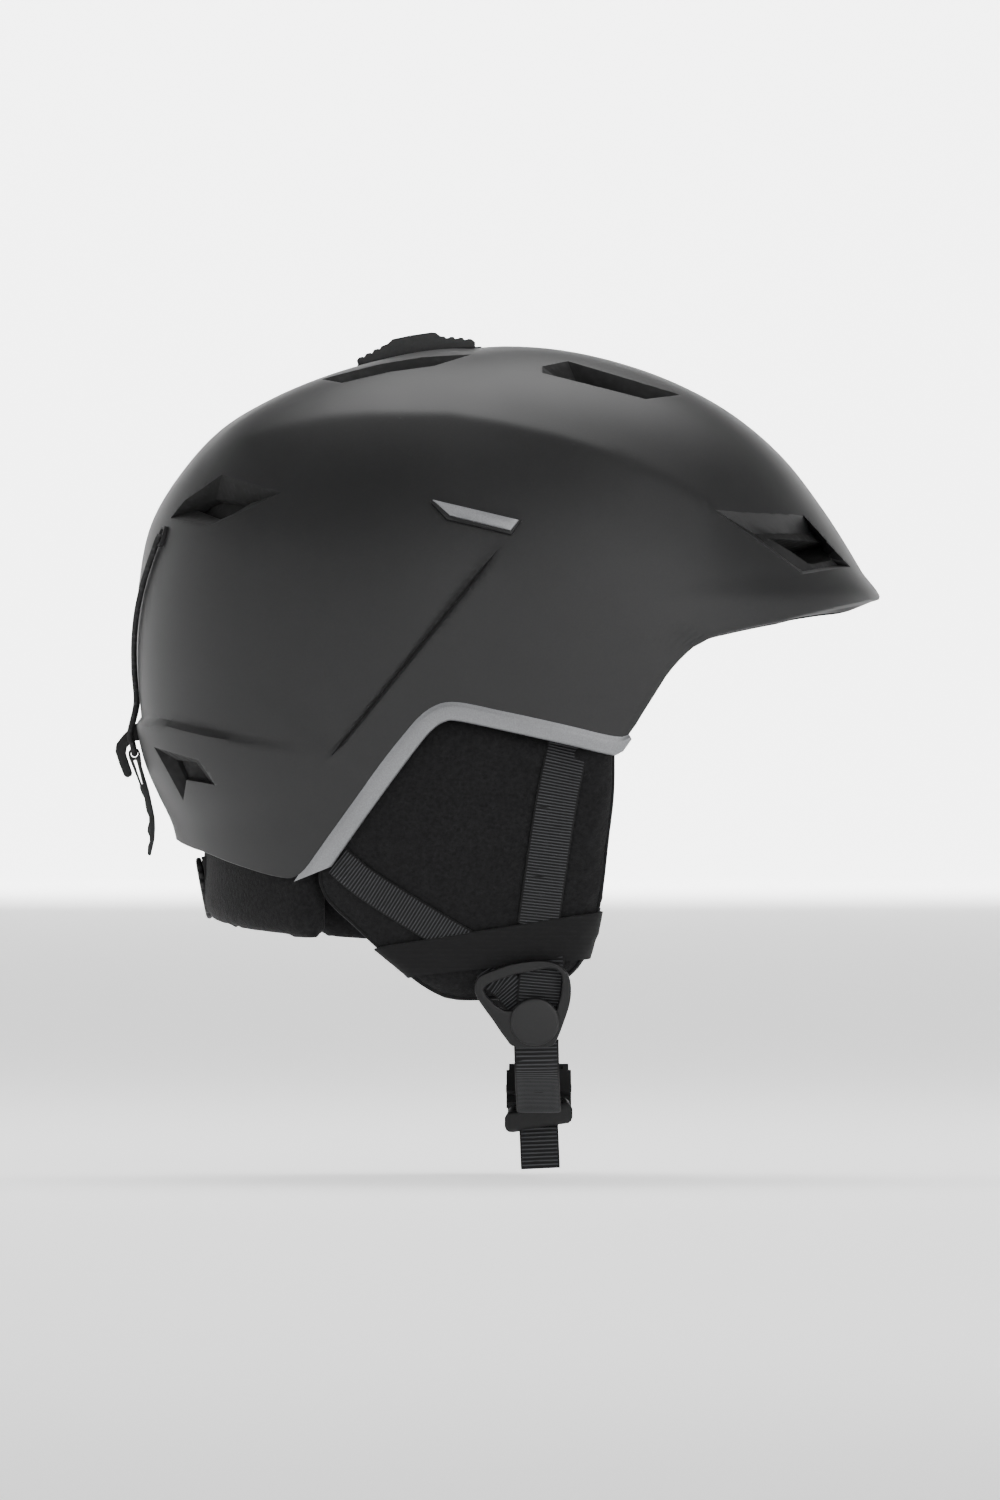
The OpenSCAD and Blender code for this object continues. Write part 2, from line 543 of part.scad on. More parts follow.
// Frame of a right divider: x forward, y along its face's inward normal, z up
module divider_frame() {
    translate([divider_x, -divider_y, divider_z]) rotate([divider_lean, 0, 0]) children();
}
module face_plate(thick, low = 0) {
    translate([0, low, 0]) rotate([90, 0, 0]) linear_extrude(thick) children();
}
module strap_divider_right() {
    color(black) divider_frame() difference() {
        face_plate(divider_thick) offset(r = 2, $fn = 24) offset(delta = -2) polygon(divider_outline);
        face_plate(divider_thick + 2, 1) polygon([[-19, -3.4], [-9, -0.4], [7.6, 2.6], [8, -3.6], [7, -8],
            [-13.5, -9.5]]);
        face_plate(divider_thick + 2, 1) polygon([[-7.5, -21.4], [5.5, -21.4], [5.5, -24], [-7.5, -24]]);
    }
}
module strap_divider_left() { left() strap_divider_right(); }
cap_at = [-0.5, -14.4];
module divider_cap_right() {
    color(soft_black) divider_frame() translate([cap_at[0], -divider_thick - 0.1, cap_at[1]])
        rotate([90, 0, 0]) {
            cylinder(r = 6.6, h = 1.4, $fn = 64);
            translate([0, 0, 1.3]) cylinder(r1 = 6.6, r2 = 5.2, h = 0.9, $fn = 64);
        }
}
module divider_cap_left() { left() divider_cap_right(); }

// ---- Vent slider ----
module slider_track() {
    color(soft_black) difference() {
        crown_arc(-43 * scale_back, 4.5) translate([arc_r + 0.6, -slider_width / 2 - 1])
            square([0.9, slider_width + 2]);
        translate([stem_x + slider_play / 2, 0, arc_b[1]])
            cube([stem[0] + slider_play + 2, stem[1] + 1, 30], center = true);
    }
}
// Heights of the thumb piece above the track, [x, height], from its back to its front
thumb = [[-43, 0.5], [-40.6, 1.5], [-38.4, 1.9], [-36.8, 3], [-34.6, 3.4], [-33, 4.6], [-30.6, 5.2],
    [-28.6, 7.2], [-22, 7.6], [-14, 7.8], [-12.6, 7.4], [-11, 5], [-8.8, 4.4], [-8.2, 3.6], [-5.4, 3.4],
    [-4.8, 2.6], [-1.8, 2.5], [-1.2, 1.8], [2, 1.6], [2.2, 0.6]];
module vent_slider() {
    base = 1.9;
    top = [for (t = thumb) arc_point(t[0] * scale_back, base + t[1] * 0.72)];
    low = [for (i = [8 : -1 : 0]) arc_point((-43 + 45.2 * i / 8) * scale_back, base)];
    color(soft_black) {
        translate([0, slider_width / 2, 0]) rotate([90, 0, 0]) linear_extrude(slider_width)
            polygon(concat(top, low));
        // stem down to the shutter
        crown_arc(stem_x - stem[0] / 2, stem_x + stem[0] / 2)
            translate([arc_r - shutter_drop + shutter_thick / 2, -stem[1] / 2])
                square([base + shutter_drop - shutter_thick / 2 + 0.5, stem[1]]);
    }
}
// Curved shutter with windows over the foam's ports
module vent_shutter() {
    ys = [-31, -24, -16, -8, 0, 8, 16, 24, 31];
    function drop(y) = top_z(arc_b[0]) - top_z(arc_b[0], y) + shutter_drop + abs(y) * 0.02;
    color(black) difference() {
        crown_arc(-54 * scale_back, -4) polygon(concat(
            [for (y = ys) [arc_r - drop(y) - shutter_thick / 2, y]],
            [for (i = [len(ys) - 1 : -1 : 0]) [arc_r - drop(ys[i]) + shutter_thick / 2, ys[i]]]));
        for (side = [-1, 1], x = port_x)
            translate([x, side * (port_y[0] + port_y[1]) / 2, 100])
                cube([port_length + 0.6, port_y[1] - port_y[0] - 2, 60], center = true);
    }
}

// ---- Goggle retainer ----
anchor_at = on_side(sized([-117.5, 39]), 0.4);
cord_low = [-129.2 * scale_back, 0, -43.5 * scale_up];
// Right half of the elastic cord, from the shell to under the hook
cord_turn = hook_width / 2 + cord_d / 2 + 0.5;  // the cord passes beside the hook
cord_route = [[-33, 27], [-22, 14], [-14, 3], [-9, -8], [-7, -22]];
cord_half = concat([anchor_at + unit(anchor_at) * 3.3],
    [for (c = cord_route) let (z = c[1] * scale_up) [back_x(c[0], z) - cord_d / 2 - 0.3, c[0], z]],
    [cord_low + [-1.6, -cord_turn, 8], cord_low + [-0.6, -cord_turn, 3.4], cord_low + [0, -cord_turn + 1.4, 0.4],
        cord_low + [0, -2.4, 0]]);
module goggle_cord() {
    half = smooth_path(cord_half, 4);
    back = [for (i = [len(half) - 1 : -1 : 0]) [half[i][0], -half[i][1], half[i][2]]];
    color(soft_black) tube(concat(half, back), cord_d / 2);
}
module cord_anchors() {
    n = unit(anchor_at);
    color(black) for (side = [0, 1]) mirror([0, side, 0])
        translate(anchor_at + n * 0.2) rotate([0, acos(n[2]), atan2(n[1], n[0])]) difference() {
            cylinder(r = cord_d / 2 + 2.7, h = 0.8, $fn = 32);
            translate([0, 0, -1]) cylinder(r = cord_d / 2 + 1.65, h = 4, $fn = 32);
        }
}
hook_outline = [[-127.9, -31.6], [-130.8, -33.6], [-136.4, -40], [-136.4, -43], [-132.6, -52.4],
    [-130.2, -51.9], [-130, -50.8], [-132.6, -43.6], [-132.4, -41.4], [-131, -39.8], [-128.9, -38.6],
    [-127.2, -38.4], [-127.3, -34.5]];
hook_slot = 4.4;    // gap between the hook's two tines, for the tab's eye
module goggle_hook() {
    color(black) difference() {
        translate([0, hook_width / 2, 0]) rotate([90, 0, 0]) linear_extrude(hook_width)
            polygon([for (p = hook_outline) sized(p)]);
        translate(cord_low + [-10, -hook_slot / 2, -20]) cube([20, hook_slot, 23.2]);
    }
}
tab_width = 7;
eye_length = 10.6;  // the tab is narrow this far below the cord
tab_outline = [[-2.3, 0.8], [-2.2, -1.2], [0.7, -8.4], [2.2, -11.8], [2.2, -13.2], [2.6, -14.8],
    [4, -17.7], [4.4, -20.4], [4.7, -22.6], [5.6, -26.1], [5, -28.8], [5.1, -30.2], [5.7, -31.8],
    [5.2, -39.2], [6.5, -39.2], [7.5, -30.8], [7.5, -26.1], [6.8, -21.5], [5.4, -14.5], [2.9, -5],
    [2.3, 0], [1.6, 1.7], [0, 2.4], [-1.5, 1.8]];
module goggle_tab() {
    color(soft_black) translate(cord_low) rotate([90, 0, 0]) translate([0, 0, -tab_width / 2])
        difference() {
            linear_extrude(tab_width) polygon(tab_outline);
            translate([0, 0, -1]) cylinder(r = cord_d / 2 + 0.3, h = tab_width + 2, $fn = 32);
            translate([0, 0, -1]) linear_extrude(tab_width + 2)
                polygon([[-1, -1], [1.4, -1], [3.6, -12], [2.7, -11.6]]);
            for (z = [-1, tab_width / 2 + hook_slot / 2 - 0.4])
                translate([-10, -eye_length, z]) cube([20, 20, (tab_width - hook_slot) / 2 + 1.4]);
        }
}

// ---- Chin strap and buckle ----
// The loop hangs from the feet of the dividers; the buckle lies across its lowest part.
foot_drop = 27;                                // from a divider's middle to below its foot
foot_z = divider_z - foot_drop * cos(divider_lean);
foot_y = divider_y - foot_drop * sin(divider_lean) - gap - web_thick / 2;  // inside the plate
loop_x = divider_x + 1;
lock_at = [loop_x, -6, -181 * scale_up];       // middle of the ladder lock
buckle_rise = 19;                               // slope of the buckle, degrees
buckle_length = 30;
// Frame of the buckle: x' forward, y' from the ladder lock towards the socket, z' up from its face
module buckle_frame() { translate(lock_at) rotate([buckle_rise, 0, 0]) children(); }
function buckle_point(y, z) = lock_at + [0, y * cos(buckle_rise) - z * sin(buckle_rise),
    y * sin(buckle_rise) + z * cos(buckle_rise)];
body_from = 12;                                 // mouth of the socket
body_to = body_from + buckle_length;
module chin_strap_right() {
    path = smooth_path([[loop_x - 1, -foot_y, foot_z], [loop_x - 0.8, -foot_y + 3.5, foot_z - 9],
        [loop_x - 0.4, -foot_y * 0.66, foot_z - 18], lock_at + [0, -22, 1.5], lock_at + [0, -5.2, 3.9]], 4);
    color(soft_black) ribbon(path, [for (p = path) [1, 0, 0]], chin_web, web_thick, 4);
}
module chin_strap_left() {
    end = buckle_point(body_to + 4.9, 0);
    path = smooth_path([end, end * 0.6 + [loop_x, foot_y, foot_z - 5] * 0.4,
        [loop_x - 0.6, foot_y - 3.5, foot_z - 9], [loop_x - 1, foot_y, foot_z]], 4);
    color(soft_black) ribbon(path, [for (p = path) [1, 0, 0]], chin_web, web_thick, 0, 4);
}
module box_at(x, y0, y1, z, size_x, size_z) {
    translate([x - size_x / 2, y0, z - size_z / 2]) cube([size_x, y1 - y0, size_z]);
}
prong_x = buckle_width / 2 - 2.6;
module buckle_female() {
    color(black) buckle_frame() difference() {
        union() {
            box_at(0, body_from, body_to - 6, 0, buckle_width, buckle_thick);
            box_at(0, body_to - 6, body_to + 4.6, 0, buckle_width - 2, 4.4);
        }
        // socket, open at the sides for the prongs
        box_at(0, body_from - 1, body_to - 8.5, 0, buckle_width + 2, buckle_thick - 2.8);
        // webbing slot
        box_at(0, body_to - 1.4, body_to + 2.3, 0, chin_web + 1.6, 9);
    }
}
module buckle_male() {
    color(black) buckle_frame() {
        box_at(0, 3.4, 11.6, 0, buckle_width - 1, 4.4);
        box_at(0, 11.5, 30, 0, 4, 2.6);
    }
}
// Frame with two bars that the adjustable end of the webbing runs round
module ladder_lock() {
    color(black) buckle_frame() difference() {
        box_at(0, -7.4, 3.3, 0, buckle_width, 6.6);
        box_at(0, -5.2, -2.2, 0, chin_web + 1.6, 20);
        box_at(0, -0.8, 1.8, 0, chin_web + 1.6, 20);
        box_at(0, -9, 1.8, 4.2, chin_web + 1.6, 4.4);
    }
}
module strap_tail() {
    start = buckle_point(-6.2, -4.6);
    path = [for (p = [[0, 0, 0], [0.2, -0.3, -5], [0.5, -0.4, -10], [0.8, 0, 8 - tail_length]]) start + p];
    color(soft_black) ribbon(path, [for (p = path) [1, 0, 0]], chin_web - 2, web_thick);
}
// One sprung prong of the plug, its root at the plug's bar
module prong(sign) {
    color(black) buckle_frame() translate([0, 0, -1.2]) linear_extrude(2.4) scale([sign, 1]) polygon([
        [prong_x - 2.8, 11.8], [prong_x - 0.4, 11.8], [prong_x - 0.2, 22.2], [prong_x + 2.6, 22.6],
        [prong_x + 2.8, 25], [prong_x + 1, 30.6], [prong_x - 2, 32.2], [prong_x - 3, 30], [prong_x - 2.4, 22]]);
}
module prong_front() { prong(1); }
module prong_rear() { prong(-1); }

shell();
foam_liner();
edge_trim_right();
edge_trim_left();
badge_base_right();
badge_base_left();
badge_plate_right();
badge_plate_left();
crown_pad();
brow_pad();
neck_pad();
neck_wing_right();
neck_wing_left();
ear_pad_right();
ear_pad_left();
ear_sleeve_right();
ear_sleeve_left();
strap_front_right();
strap_front_left();
strap_rear_right();
strap_rear_left();
strap_anchors();
strap_divider_right();
strap_divider_left();
divider_cap_right();
divider_cap_left();
slider_track();
vent_slider();
vent_shutter();
dial_housing();
fit_dial();
dial_pinion();
fit_band_right();
fit_band_left();
goggle_hook();
cord_anchors();
goggle_cord();
goggle_tab();
chin_strap_right();
chin_strap_left();
buckle_female();
buckle_male();
ladder_lock();
strap_tail();
prong_front();
prong_rear();
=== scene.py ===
"""Looks of a ski helmet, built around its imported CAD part.

Each sub-assembly is a class that builds its meshes, dresses them in a finish and
rides them on a CAD body. Shapes are worked out in millimetres in the part's own
frame (+X the brim, +Y the wearer's left, +Z up) and stored in metres.
"""
from __future__ import annotations

import json
import logging
import math
from dataclasses import dataclass
from enum import Enum
from typing import Callable, Iterable, Sequence

import bmesh
import bpy
import numpy as np
from mathutils import Matrix, Vector
from mathutils.bvhtree import BVHTree


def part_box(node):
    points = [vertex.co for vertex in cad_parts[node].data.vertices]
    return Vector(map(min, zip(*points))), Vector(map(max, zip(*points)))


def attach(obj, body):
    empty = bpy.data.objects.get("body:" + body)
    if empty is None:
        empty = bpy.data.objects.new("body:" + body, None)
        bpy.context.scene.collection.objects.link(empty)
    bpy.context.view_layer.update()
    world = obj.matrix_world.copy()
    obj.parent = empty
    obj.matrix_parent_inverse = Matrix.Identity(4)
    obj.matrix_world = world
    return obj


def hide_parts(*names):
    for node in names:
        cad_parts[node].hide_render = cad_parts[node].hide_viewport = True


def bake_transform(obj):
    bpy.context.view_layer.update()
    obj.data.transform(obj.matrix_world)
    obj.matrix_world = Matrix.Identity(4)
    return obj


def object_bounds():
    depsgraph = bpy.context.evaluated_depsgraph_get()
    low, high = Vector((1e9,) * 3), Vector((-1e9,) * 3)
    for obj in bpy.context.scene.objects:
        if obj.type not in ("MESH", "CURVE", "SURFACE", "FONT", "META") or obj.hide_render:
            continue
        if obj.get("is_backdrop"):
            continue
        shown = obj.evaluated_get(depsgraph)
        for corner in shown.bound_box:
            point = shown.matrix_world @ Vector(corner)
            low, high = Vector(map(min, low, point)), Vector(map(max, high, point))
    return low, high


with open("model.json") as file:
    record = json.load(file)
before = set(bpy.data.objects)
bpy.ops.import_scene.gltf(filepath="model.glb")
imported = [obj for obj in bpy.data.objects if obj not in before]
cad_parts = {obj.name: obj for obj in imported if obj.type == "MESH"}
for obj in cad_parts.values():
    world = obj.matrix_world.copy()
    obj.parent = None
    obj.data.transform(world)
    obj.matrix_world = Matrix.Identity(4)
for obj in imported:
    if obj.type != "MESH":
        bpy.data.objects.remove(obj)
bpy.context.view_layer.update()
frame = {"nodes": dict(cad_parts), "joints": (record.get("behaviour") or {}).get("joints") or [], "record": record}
LOG = logging.getLogger("ski_helmet")
MM = 0.001
Array = np.ndarray
Outline = Sequence[Sequence[float]]

CLOTH_STEPS = 20        # steps of a cushion's cloth simulation
CLOTH_PRESSURE = 4.0    # air pressure inside a cushion
SAMPLES_PER_RIB = 4     # sections of webbing for each woven rib
WAVES_PER_UNIT = 6.3    # a wave texture repeats this many times in one unit


# ---- Finishes -------------------------------------------------------------

def hex_linear(code: str) -> tuple[float, float, float, float]:
    """Turn an sRGB hex colour into linear RGBA.

    Args:
        code: six hex digits, such as "1c1c1e".

    Returns:
        Linear red, green, blue and an alpha of 1.
    """
    parts = [int(code[i:i + 2], 16) / 255 for i in (0, 2, 4)]
    linear = [c / 12.92 if c <= 0.04045 else ((c + 0.055) / 1.055) ** 2.4 for c in parts]
    return (*linear, 1.0)


def add(tree: bpy.types.NodeTree, kind: str, links: dict | None = None, **settings) -> bpy.types.Node:
    """Add a node with its settings and links.

    Args:
        tree: the material's node tree.
        kind: the node's type name.
        links: input name or number to the output socket or value that feeds it.
        settings: attributes of the node.

    Returns:
        The new node.
    """
    node = tree.nodes.new(kind)
    for key, value in settings.items():
        setattr(node, key, value)
    for key, source in (links or {}).items():
        if isinstance(source, bpy.types.NodeSocket):
            tree.links.new(source, node.inputs[key])
        else:
            node.inputs[key].default_value = source
    return node


class Pattern(Enum):
    """How a finish's surface relief is made."""

    GRAIN = "moulded grain"
    FLEECE = "brushed pile"
    KNIT = "fine knit"
    BEADS = "fused beads"
    BRAID = "diagonal braid"
    RIBS = "woven ribs"


@dataclass(frozen=True)
class Finish:
    """One surface finish, its colours and its relief.

    Attributes:
        name: the material's common name and how it was made.
        slot: the record's material slot.
        dark: sRGB hex of the main colour.
        light: sRGB hex of the pattern's lighter parts.
        roughness: roughness of the surface.
        pattern: kind of relief.
        pitch_mm: real size of the pattern.
        relief_mm: height of the relief.
        ior: index of refraction.
        metallic: share of metal.
        sheen: weight of the fibre sheen.
        coat: weight of a clear coat.
    """

    name: str
    slot: str
    dark: str
    light: str
    roughness: float
    pattern: Pattern = Pattern.GRAIN
    pitch_mm: float = 0.5
    relief_mm: float = 0.05
    ior: float = 1.5
    metallic: float = 0.0
    sheen: float = 0.0
    coat: float = 0.0

    def relief(self, tree: bpy.types.NodeTree, place: bpy.types.NodeSocket) -> bpy.types.NodeSocket:
        """Make the relief's height, 0 to 1.

        Args:
            tree: the material's node tree.
            place: object coordinates in metres.

        Returns:
            The socket that holds the height.
        """
        per_metre = 1 / (self.pitch_mm * MM)
        if self.pattern is Pattern.RIBS:
            # the rib attribute drives the bump and also paints a highlight on the ribs' crowns through the colour
            # ramp
            return add(tree, "ShaderNodeAttribute", attribute_name="rib").outputs["Fac"]
        if self.pattern is Pattern.BEADS:
            cells = add(tree, "ShaderNodeTexVoronoi", {"Vector": place, "Scale": per_metre},
                        feature="SMOOTH_F1")
            return add(tree, "ShaderNodeMath", {0: 1.0, 1: cells.outputs["Distance"]},
                       operation="SUBTRACT").outputs[0]
        if self.pattern is Pattern.BRAID:
            waves = [add(tree, "ShaderNodeTexWave", {"Vector": place, "Scale": per_metre / WAVES_PER_UNIT},
                         bands_direction=way).outputs["Fac"] for way in ("DIAGONAL", "Z")]
            return add(tree, "ShaderNodeMath", {0: waves[0], 1: waves[1]}, operation="MULTIPLY").outputs[0]
        if self.pattern is Pattern.KNIT:
            wave = add(tree, "ShaderNodeTexWave", {"Vector": place, "Scale": per_metre / WAVES_PER_UNIT,
                                                  "Distortion": 0.6, "Detail": 1.0},
                       bands_direction="Z")
            noise = add(tree, "ShaderNodeTexNoise", {"Vector": place, "Scale": per_metre, "Detail": 2.0})
            return add(tree, "ShaderNodeMath", {0: wave.outputs["Fac"], 1: noise.outputs["Fac"]},
                       operation="MULTIPLY").outputs[0]
        detail, rough = (6.0, 0.68) if self.pattern is Pattern.FLEECE else (3.0, 0.55)
        return add(tree, "ShaderNodeTexNoise", {"Vector": place, "Scale": per_metre,
                                               "Detail": detail, "Roughness": rough}).outputs["Fac"]

    def build(self) -> bpy.types.Material:
        """Make the material once and return it.

        Returns:
            The Blender material.
        """
        if self.name in bpy.data.materials:
            return bpy.data.materials[self.name]
        material = bpy.data.materials.new(self.name)
        material.use_nodes = True
        tree = material.node_tree
        shader = tree.nodes["Principled BSDF"]
        place = add(tree, "ShaderNodeTexCoord").outputs["Object"]
        height = self.relief(tree, place)
        # slow drift of tone over the piece, so that no surface is one flat colour
        drift = add(tree, "ShaderNodeTexNoise", {"Vector": place, "Scale": 22.0, "Detail": 2.0})
        # on the webbing, the ramp's light colour is a painted highlight on the ribs' crowns
        low, high = (0.45, 0.95) if self.pattern is Pattern.RIBS else (0.34, 0.72)
        ramp = add(tree, "ShaderNodeValToRGB", {"Fac": height})
        ramp.color_ramp.elements[0].position = low
        ramp.color_ramp.elements[1].position = high
        ramp.color_ramp.elements[0].color = hex_linear(self.dark)
        ramp.color_ramp.elements[1].color = hex_linear(self.light)
        tone = add(tree, "ShaderNodeMapRange", {"Value": drift.outputs["Fac"], "From Min": 0.3,
                                               "From Max": 0.7, "To Min": 0.88, "To Max": 1.1})
        colour = add(tree, "ShaderNodeMix", {6: ramp.outputs["Color"], 7: tone.outputs["Result"],
                                             "Factor": 1.0}, data_type="RGBA", blend_type="MULTIPLY")
        tree.links.new(colour.outputs[2], shader.inputs["Base Color"])
        rough = add(tree, "ShaderNodeMapRange", {"Value": drift.outputs["Fac"],
                                                "To Min": self.roughness - 0.04,
                                                "To Max": self.roughness + 0.05})
        tree.links.new(rough.outputs["Result"], shader.inputs["Roughness"])
        bump = add(tree, "ShaderNodeBump", {"Height": height, "Distance": self.relief_mm * MM,
                                           "Strength": 1.0})
        tree.links.new(bump.outputs["Normal"], shader.inputs["Normal"])
        shader.inputs["IOR"].default_value = self.ior
        shader.inputs["Metallic"].default_value = self.metallic
        shader.inputs["Sheen Weight"].default_value = self.sheen
        shader.inputs["Sheen Roughness"].default_value = 0.5
        shader.inputs["Coat Weight"].default_value = self.coat
        return material


# Matt injection-moulded ABS: a fine spark-eroded grain that spreads every highlight.
SHELL_ABS = Finish("moulded ABS shell", "shell_abs", "0e0e0f", "121213", 0.5, pitch_mm=0.7,
                   relief_mm=0.018, ior=1.42)
# Expanded polystyrene: fused beads about 3 mm across, dull and dark.
BEAD_FOAM = Finish("bead foam", "impact_foam", "070707", "0d0d0e", 0.9, Pattern.BEADS, 3.0, 0.35)
# Satin lacquer with fine metal flake over plastic.
SILVER = Finish("satin silver lacquer", "silver_plastic", "6c6d6f", "7c7d7f", 0.42, pitch_mm=0.5,
                relief_mm=0.006, metallic=0.35, coat=0.1)
# Moulded nylon with a light texture, satin on its edges.
NYLON = Finish("moulded nylon", "black_plastic", "080809", "0d0d0e", 0.55, pitch_mm=0.6, relief_mm=0.02,
               ior=1.38)
NYLON_SMOOTH = Finish("polished nylon", "black_plastic", "09090a", "0e0e0f", 0.46, pitch_mm=0.8,
                      relief_mm=0.008, ior=1.4)
ACETAL = Finish("moulded acetal", "white_plastic", "b9b9b4", "c8c8c3", 0.4, pitch_mm=0.8, relief_mm=0.01)
# Brushed polyester fleece: curled pile about a millimetre long with a faint bloom.
FLEECE = Finish("brushed fleece", "fleece", "070708", "19191a", 0.95, Pattern.FLEECE, 1.5, 0.5, ior=1.3,
                sheen=0.04)
KNIT = Finish("smooth stretch knit", "smooth_fabric", "0a0a0b", "101011", 0.8, Pattern.KNIT, 0.9, 0.08,
              ior=1.3, sheen=0.03)
# Woven polyester webbing: cross ribs, with a painted highlight in the light colour on their crowns.
WEBBING = Finish("ribbed polyester webbing", "webbing", "070708", "3a3b3d", 0.76, Pattern.RIBS, 1.2, 0.12,
                 ior=1.33)
BRAID = Finish("braided elastic", "elastic", "09090a", "1f1f20", 0.8, Pattern.BRAID, 1.3, 0.2)
RUBBER = Finish("soft moulded rubber", "rubber", "121213", "1b1b1c", 0.62, pitch_mm=0.9, relief_mm=0.02)
ZINC = Finish("zinc plated steel", "steel", "9a9a98", "b2b2b0", 0.35, pitch_mm=0.7, relief_mm=0.006,
              metallic=1.0)


# ---- Mesh tools -----------------------------------------------------------

def make(name: str, points: Array, faces: Sequence[Sequence[int]], finish: Finish,
         smooth_deg: float = 35.0) -> bpy.types.Object:
    """Make a mesh object from points in millimetres.

    Args:
        name: the piece's name.
        points: N by 3 array, in millimetres.
        faces: vertex numbers of each face.
        finish: what it is dressed in.
        smooth_deg: edges sharper than this stay crisp.

    Returns:
        The new object.
    """
    mesh = bpy.data.meshes.new(name)
    mesh.from_pydata((np.asarray(points, float) * MM).tolist(), [], [list(f) for f in faces])
    tidy = bmesh.new()
    tidy.from_mesh(mesh)
    bmesh.ops.remove_doubles(tidy, verts=tidy.verts, dist=1e-6)
    bmesh.ops.recalc_face_normals(tidy, faces=tidy.faces)
    tidy.to_mesh(mesh)
    tidy.free()
    obj = bpy.data.objects.new(name, mesh)
    bpy.context.scene.collection.objects.link(obj)
    dress(obj, finish)
    soften(obj, smooth_deg)
    return obj


def dress(obj: bpy.types.Object, finish: Finish) -> None:
    """Give an object one finish."""
    obj.data.materials.clear()
    obj.data.materials.append(finish.build())


def soften(obj: bpy.types.Object, angle_deg: float) -> None:
    """Shade smooth except at edges sharper than angle_deg."""
    obj.data.shade_smooth()
    obj.data.set_sharp_from_angle(angle=math.radians(angle_deg))


def apply(obj: bpy.types.Object, kind: str, **settings) -> None:
    """Add a modifier with its settings and apply it."""
    modifier = obj.modifiers.new(kind.lower(), kind)
    for key, value in settings.items():
        setattr(modifier, key, value)
    with bpy.context.temp_override(object=obj, active_object=obj, selected_objects=[obj]):
        bpy.ops.object.modifier_apply(modifier=modifier.name)


def round_edges(obj: bpy.types.Object, radius_mm: float, angle_deg: float, segments: int = 3) -> None:
    """Bevel every edge sharper than angle_deg to a radius."""
    apply(obj, "BEVEL", width=radius_mm * MM, segments=segments, limit_method="ANGLE",
          angle_limit=math.radians(angle_deg), use_clamp_overlap=True)


def move_mm(obj: bpy.types.Object, place: Matrix) -> None:
    """Move a mesh by a matrix whose lengths are in millimetres."""
    obj.data.transform(Matrix.Scale(MM, 4) @ place @ Matrix.Scale(1 / MM, 4))


def around(count: int) -> Array:
    """Angles spaced evenly round a circle, in radians."""
    return np.linspace(0, 2 * math.pi, count, endpoint=False)


def cut(obj: bpy.types.Object, cutters: Iterable[bpy.types.Object]) -> None:
    """Cut other solids out of obj and remove them."""
    for cutter in cutters:
        apply(obj, "BOOLEAN", operation="DIFFERENCE", solver="MANIFOLD", object=cutter)
        bpy.data.objects.remove(cutter)


def loft(rings: Sequence[Array], closed: bool = False) -> tuple[Array, list[list[int]]]:
    """Skin rings of equal length into a solid.

    Args:
        rings: each an N by 3 array.
        closed: join the last ring to the first instead of capping.

    Returns:
        Points and faces.
    """
    count, size = len(rings), len(rings[0])
    faces = [[j * size + k, j * size + (k + 1) % size, i * size + (k + 1) % size, i * size + k]
             for i in range(count - (0 if closed else 1)) for j in [(i + 1) % count]
             for k in range(size)]
    if not closed:
        faces += [list(range(size)), [(count - 1) * size + k for k in reversed(range(size))]]
    return np.vstack(rings), faces


def smooth_path(points: Sequence[Sequence[float]], step_mm: float) -> Array:
    """Pass a smooth curve through points and space it evenly.

    Args:
        points: the points it passes through.
        step_mm: spacing along it.

    Returns:
        M by 3 array of points.
    """
    p = np.asarray(points, float)
    fine = []
    for i in range(len(p) - 1):
        a, b, c, d = p[max(i - 1, 0)], p[i], p[i + 1], p[min(i + 2, len(p) - 1)]
        for s in np.linspace(0, 1, 24, endpoint=False):
            fine.append(b * (1 - s) ** 2 * (1 + 2 * s) + c * s * s * (3 - 2 * s)
                        + (c - a) / 2 * s * (1 - s) ** 2 - (d - b) / 2 * s * s * (1 - s))
    fine = np.array(fine + [p[-1]])
    run = np.concatenate([[0], np.cumsum(np.linalg.norm(np.diff(fine, axis=0), axis=1))])
    steps = max(int(round(run[-1] / step_mm)), 2)
    at = np.linspace(0, run[-1], steps + 1)
    return np.stack([np.interp(at, run, fine[:, k]) for k in range(p.shape[1])], axis=1)


def units(v: Array) -> Array:
    """Scale vectors to length 1."""
    return v / np.maximum(np.linalg.norm(v, axis=-1, keepdims=True), 1e-9)


def tangents(path: Array) -> Array:
    """Directions along a path."""
    return units(np.gradient(path, axis=0))


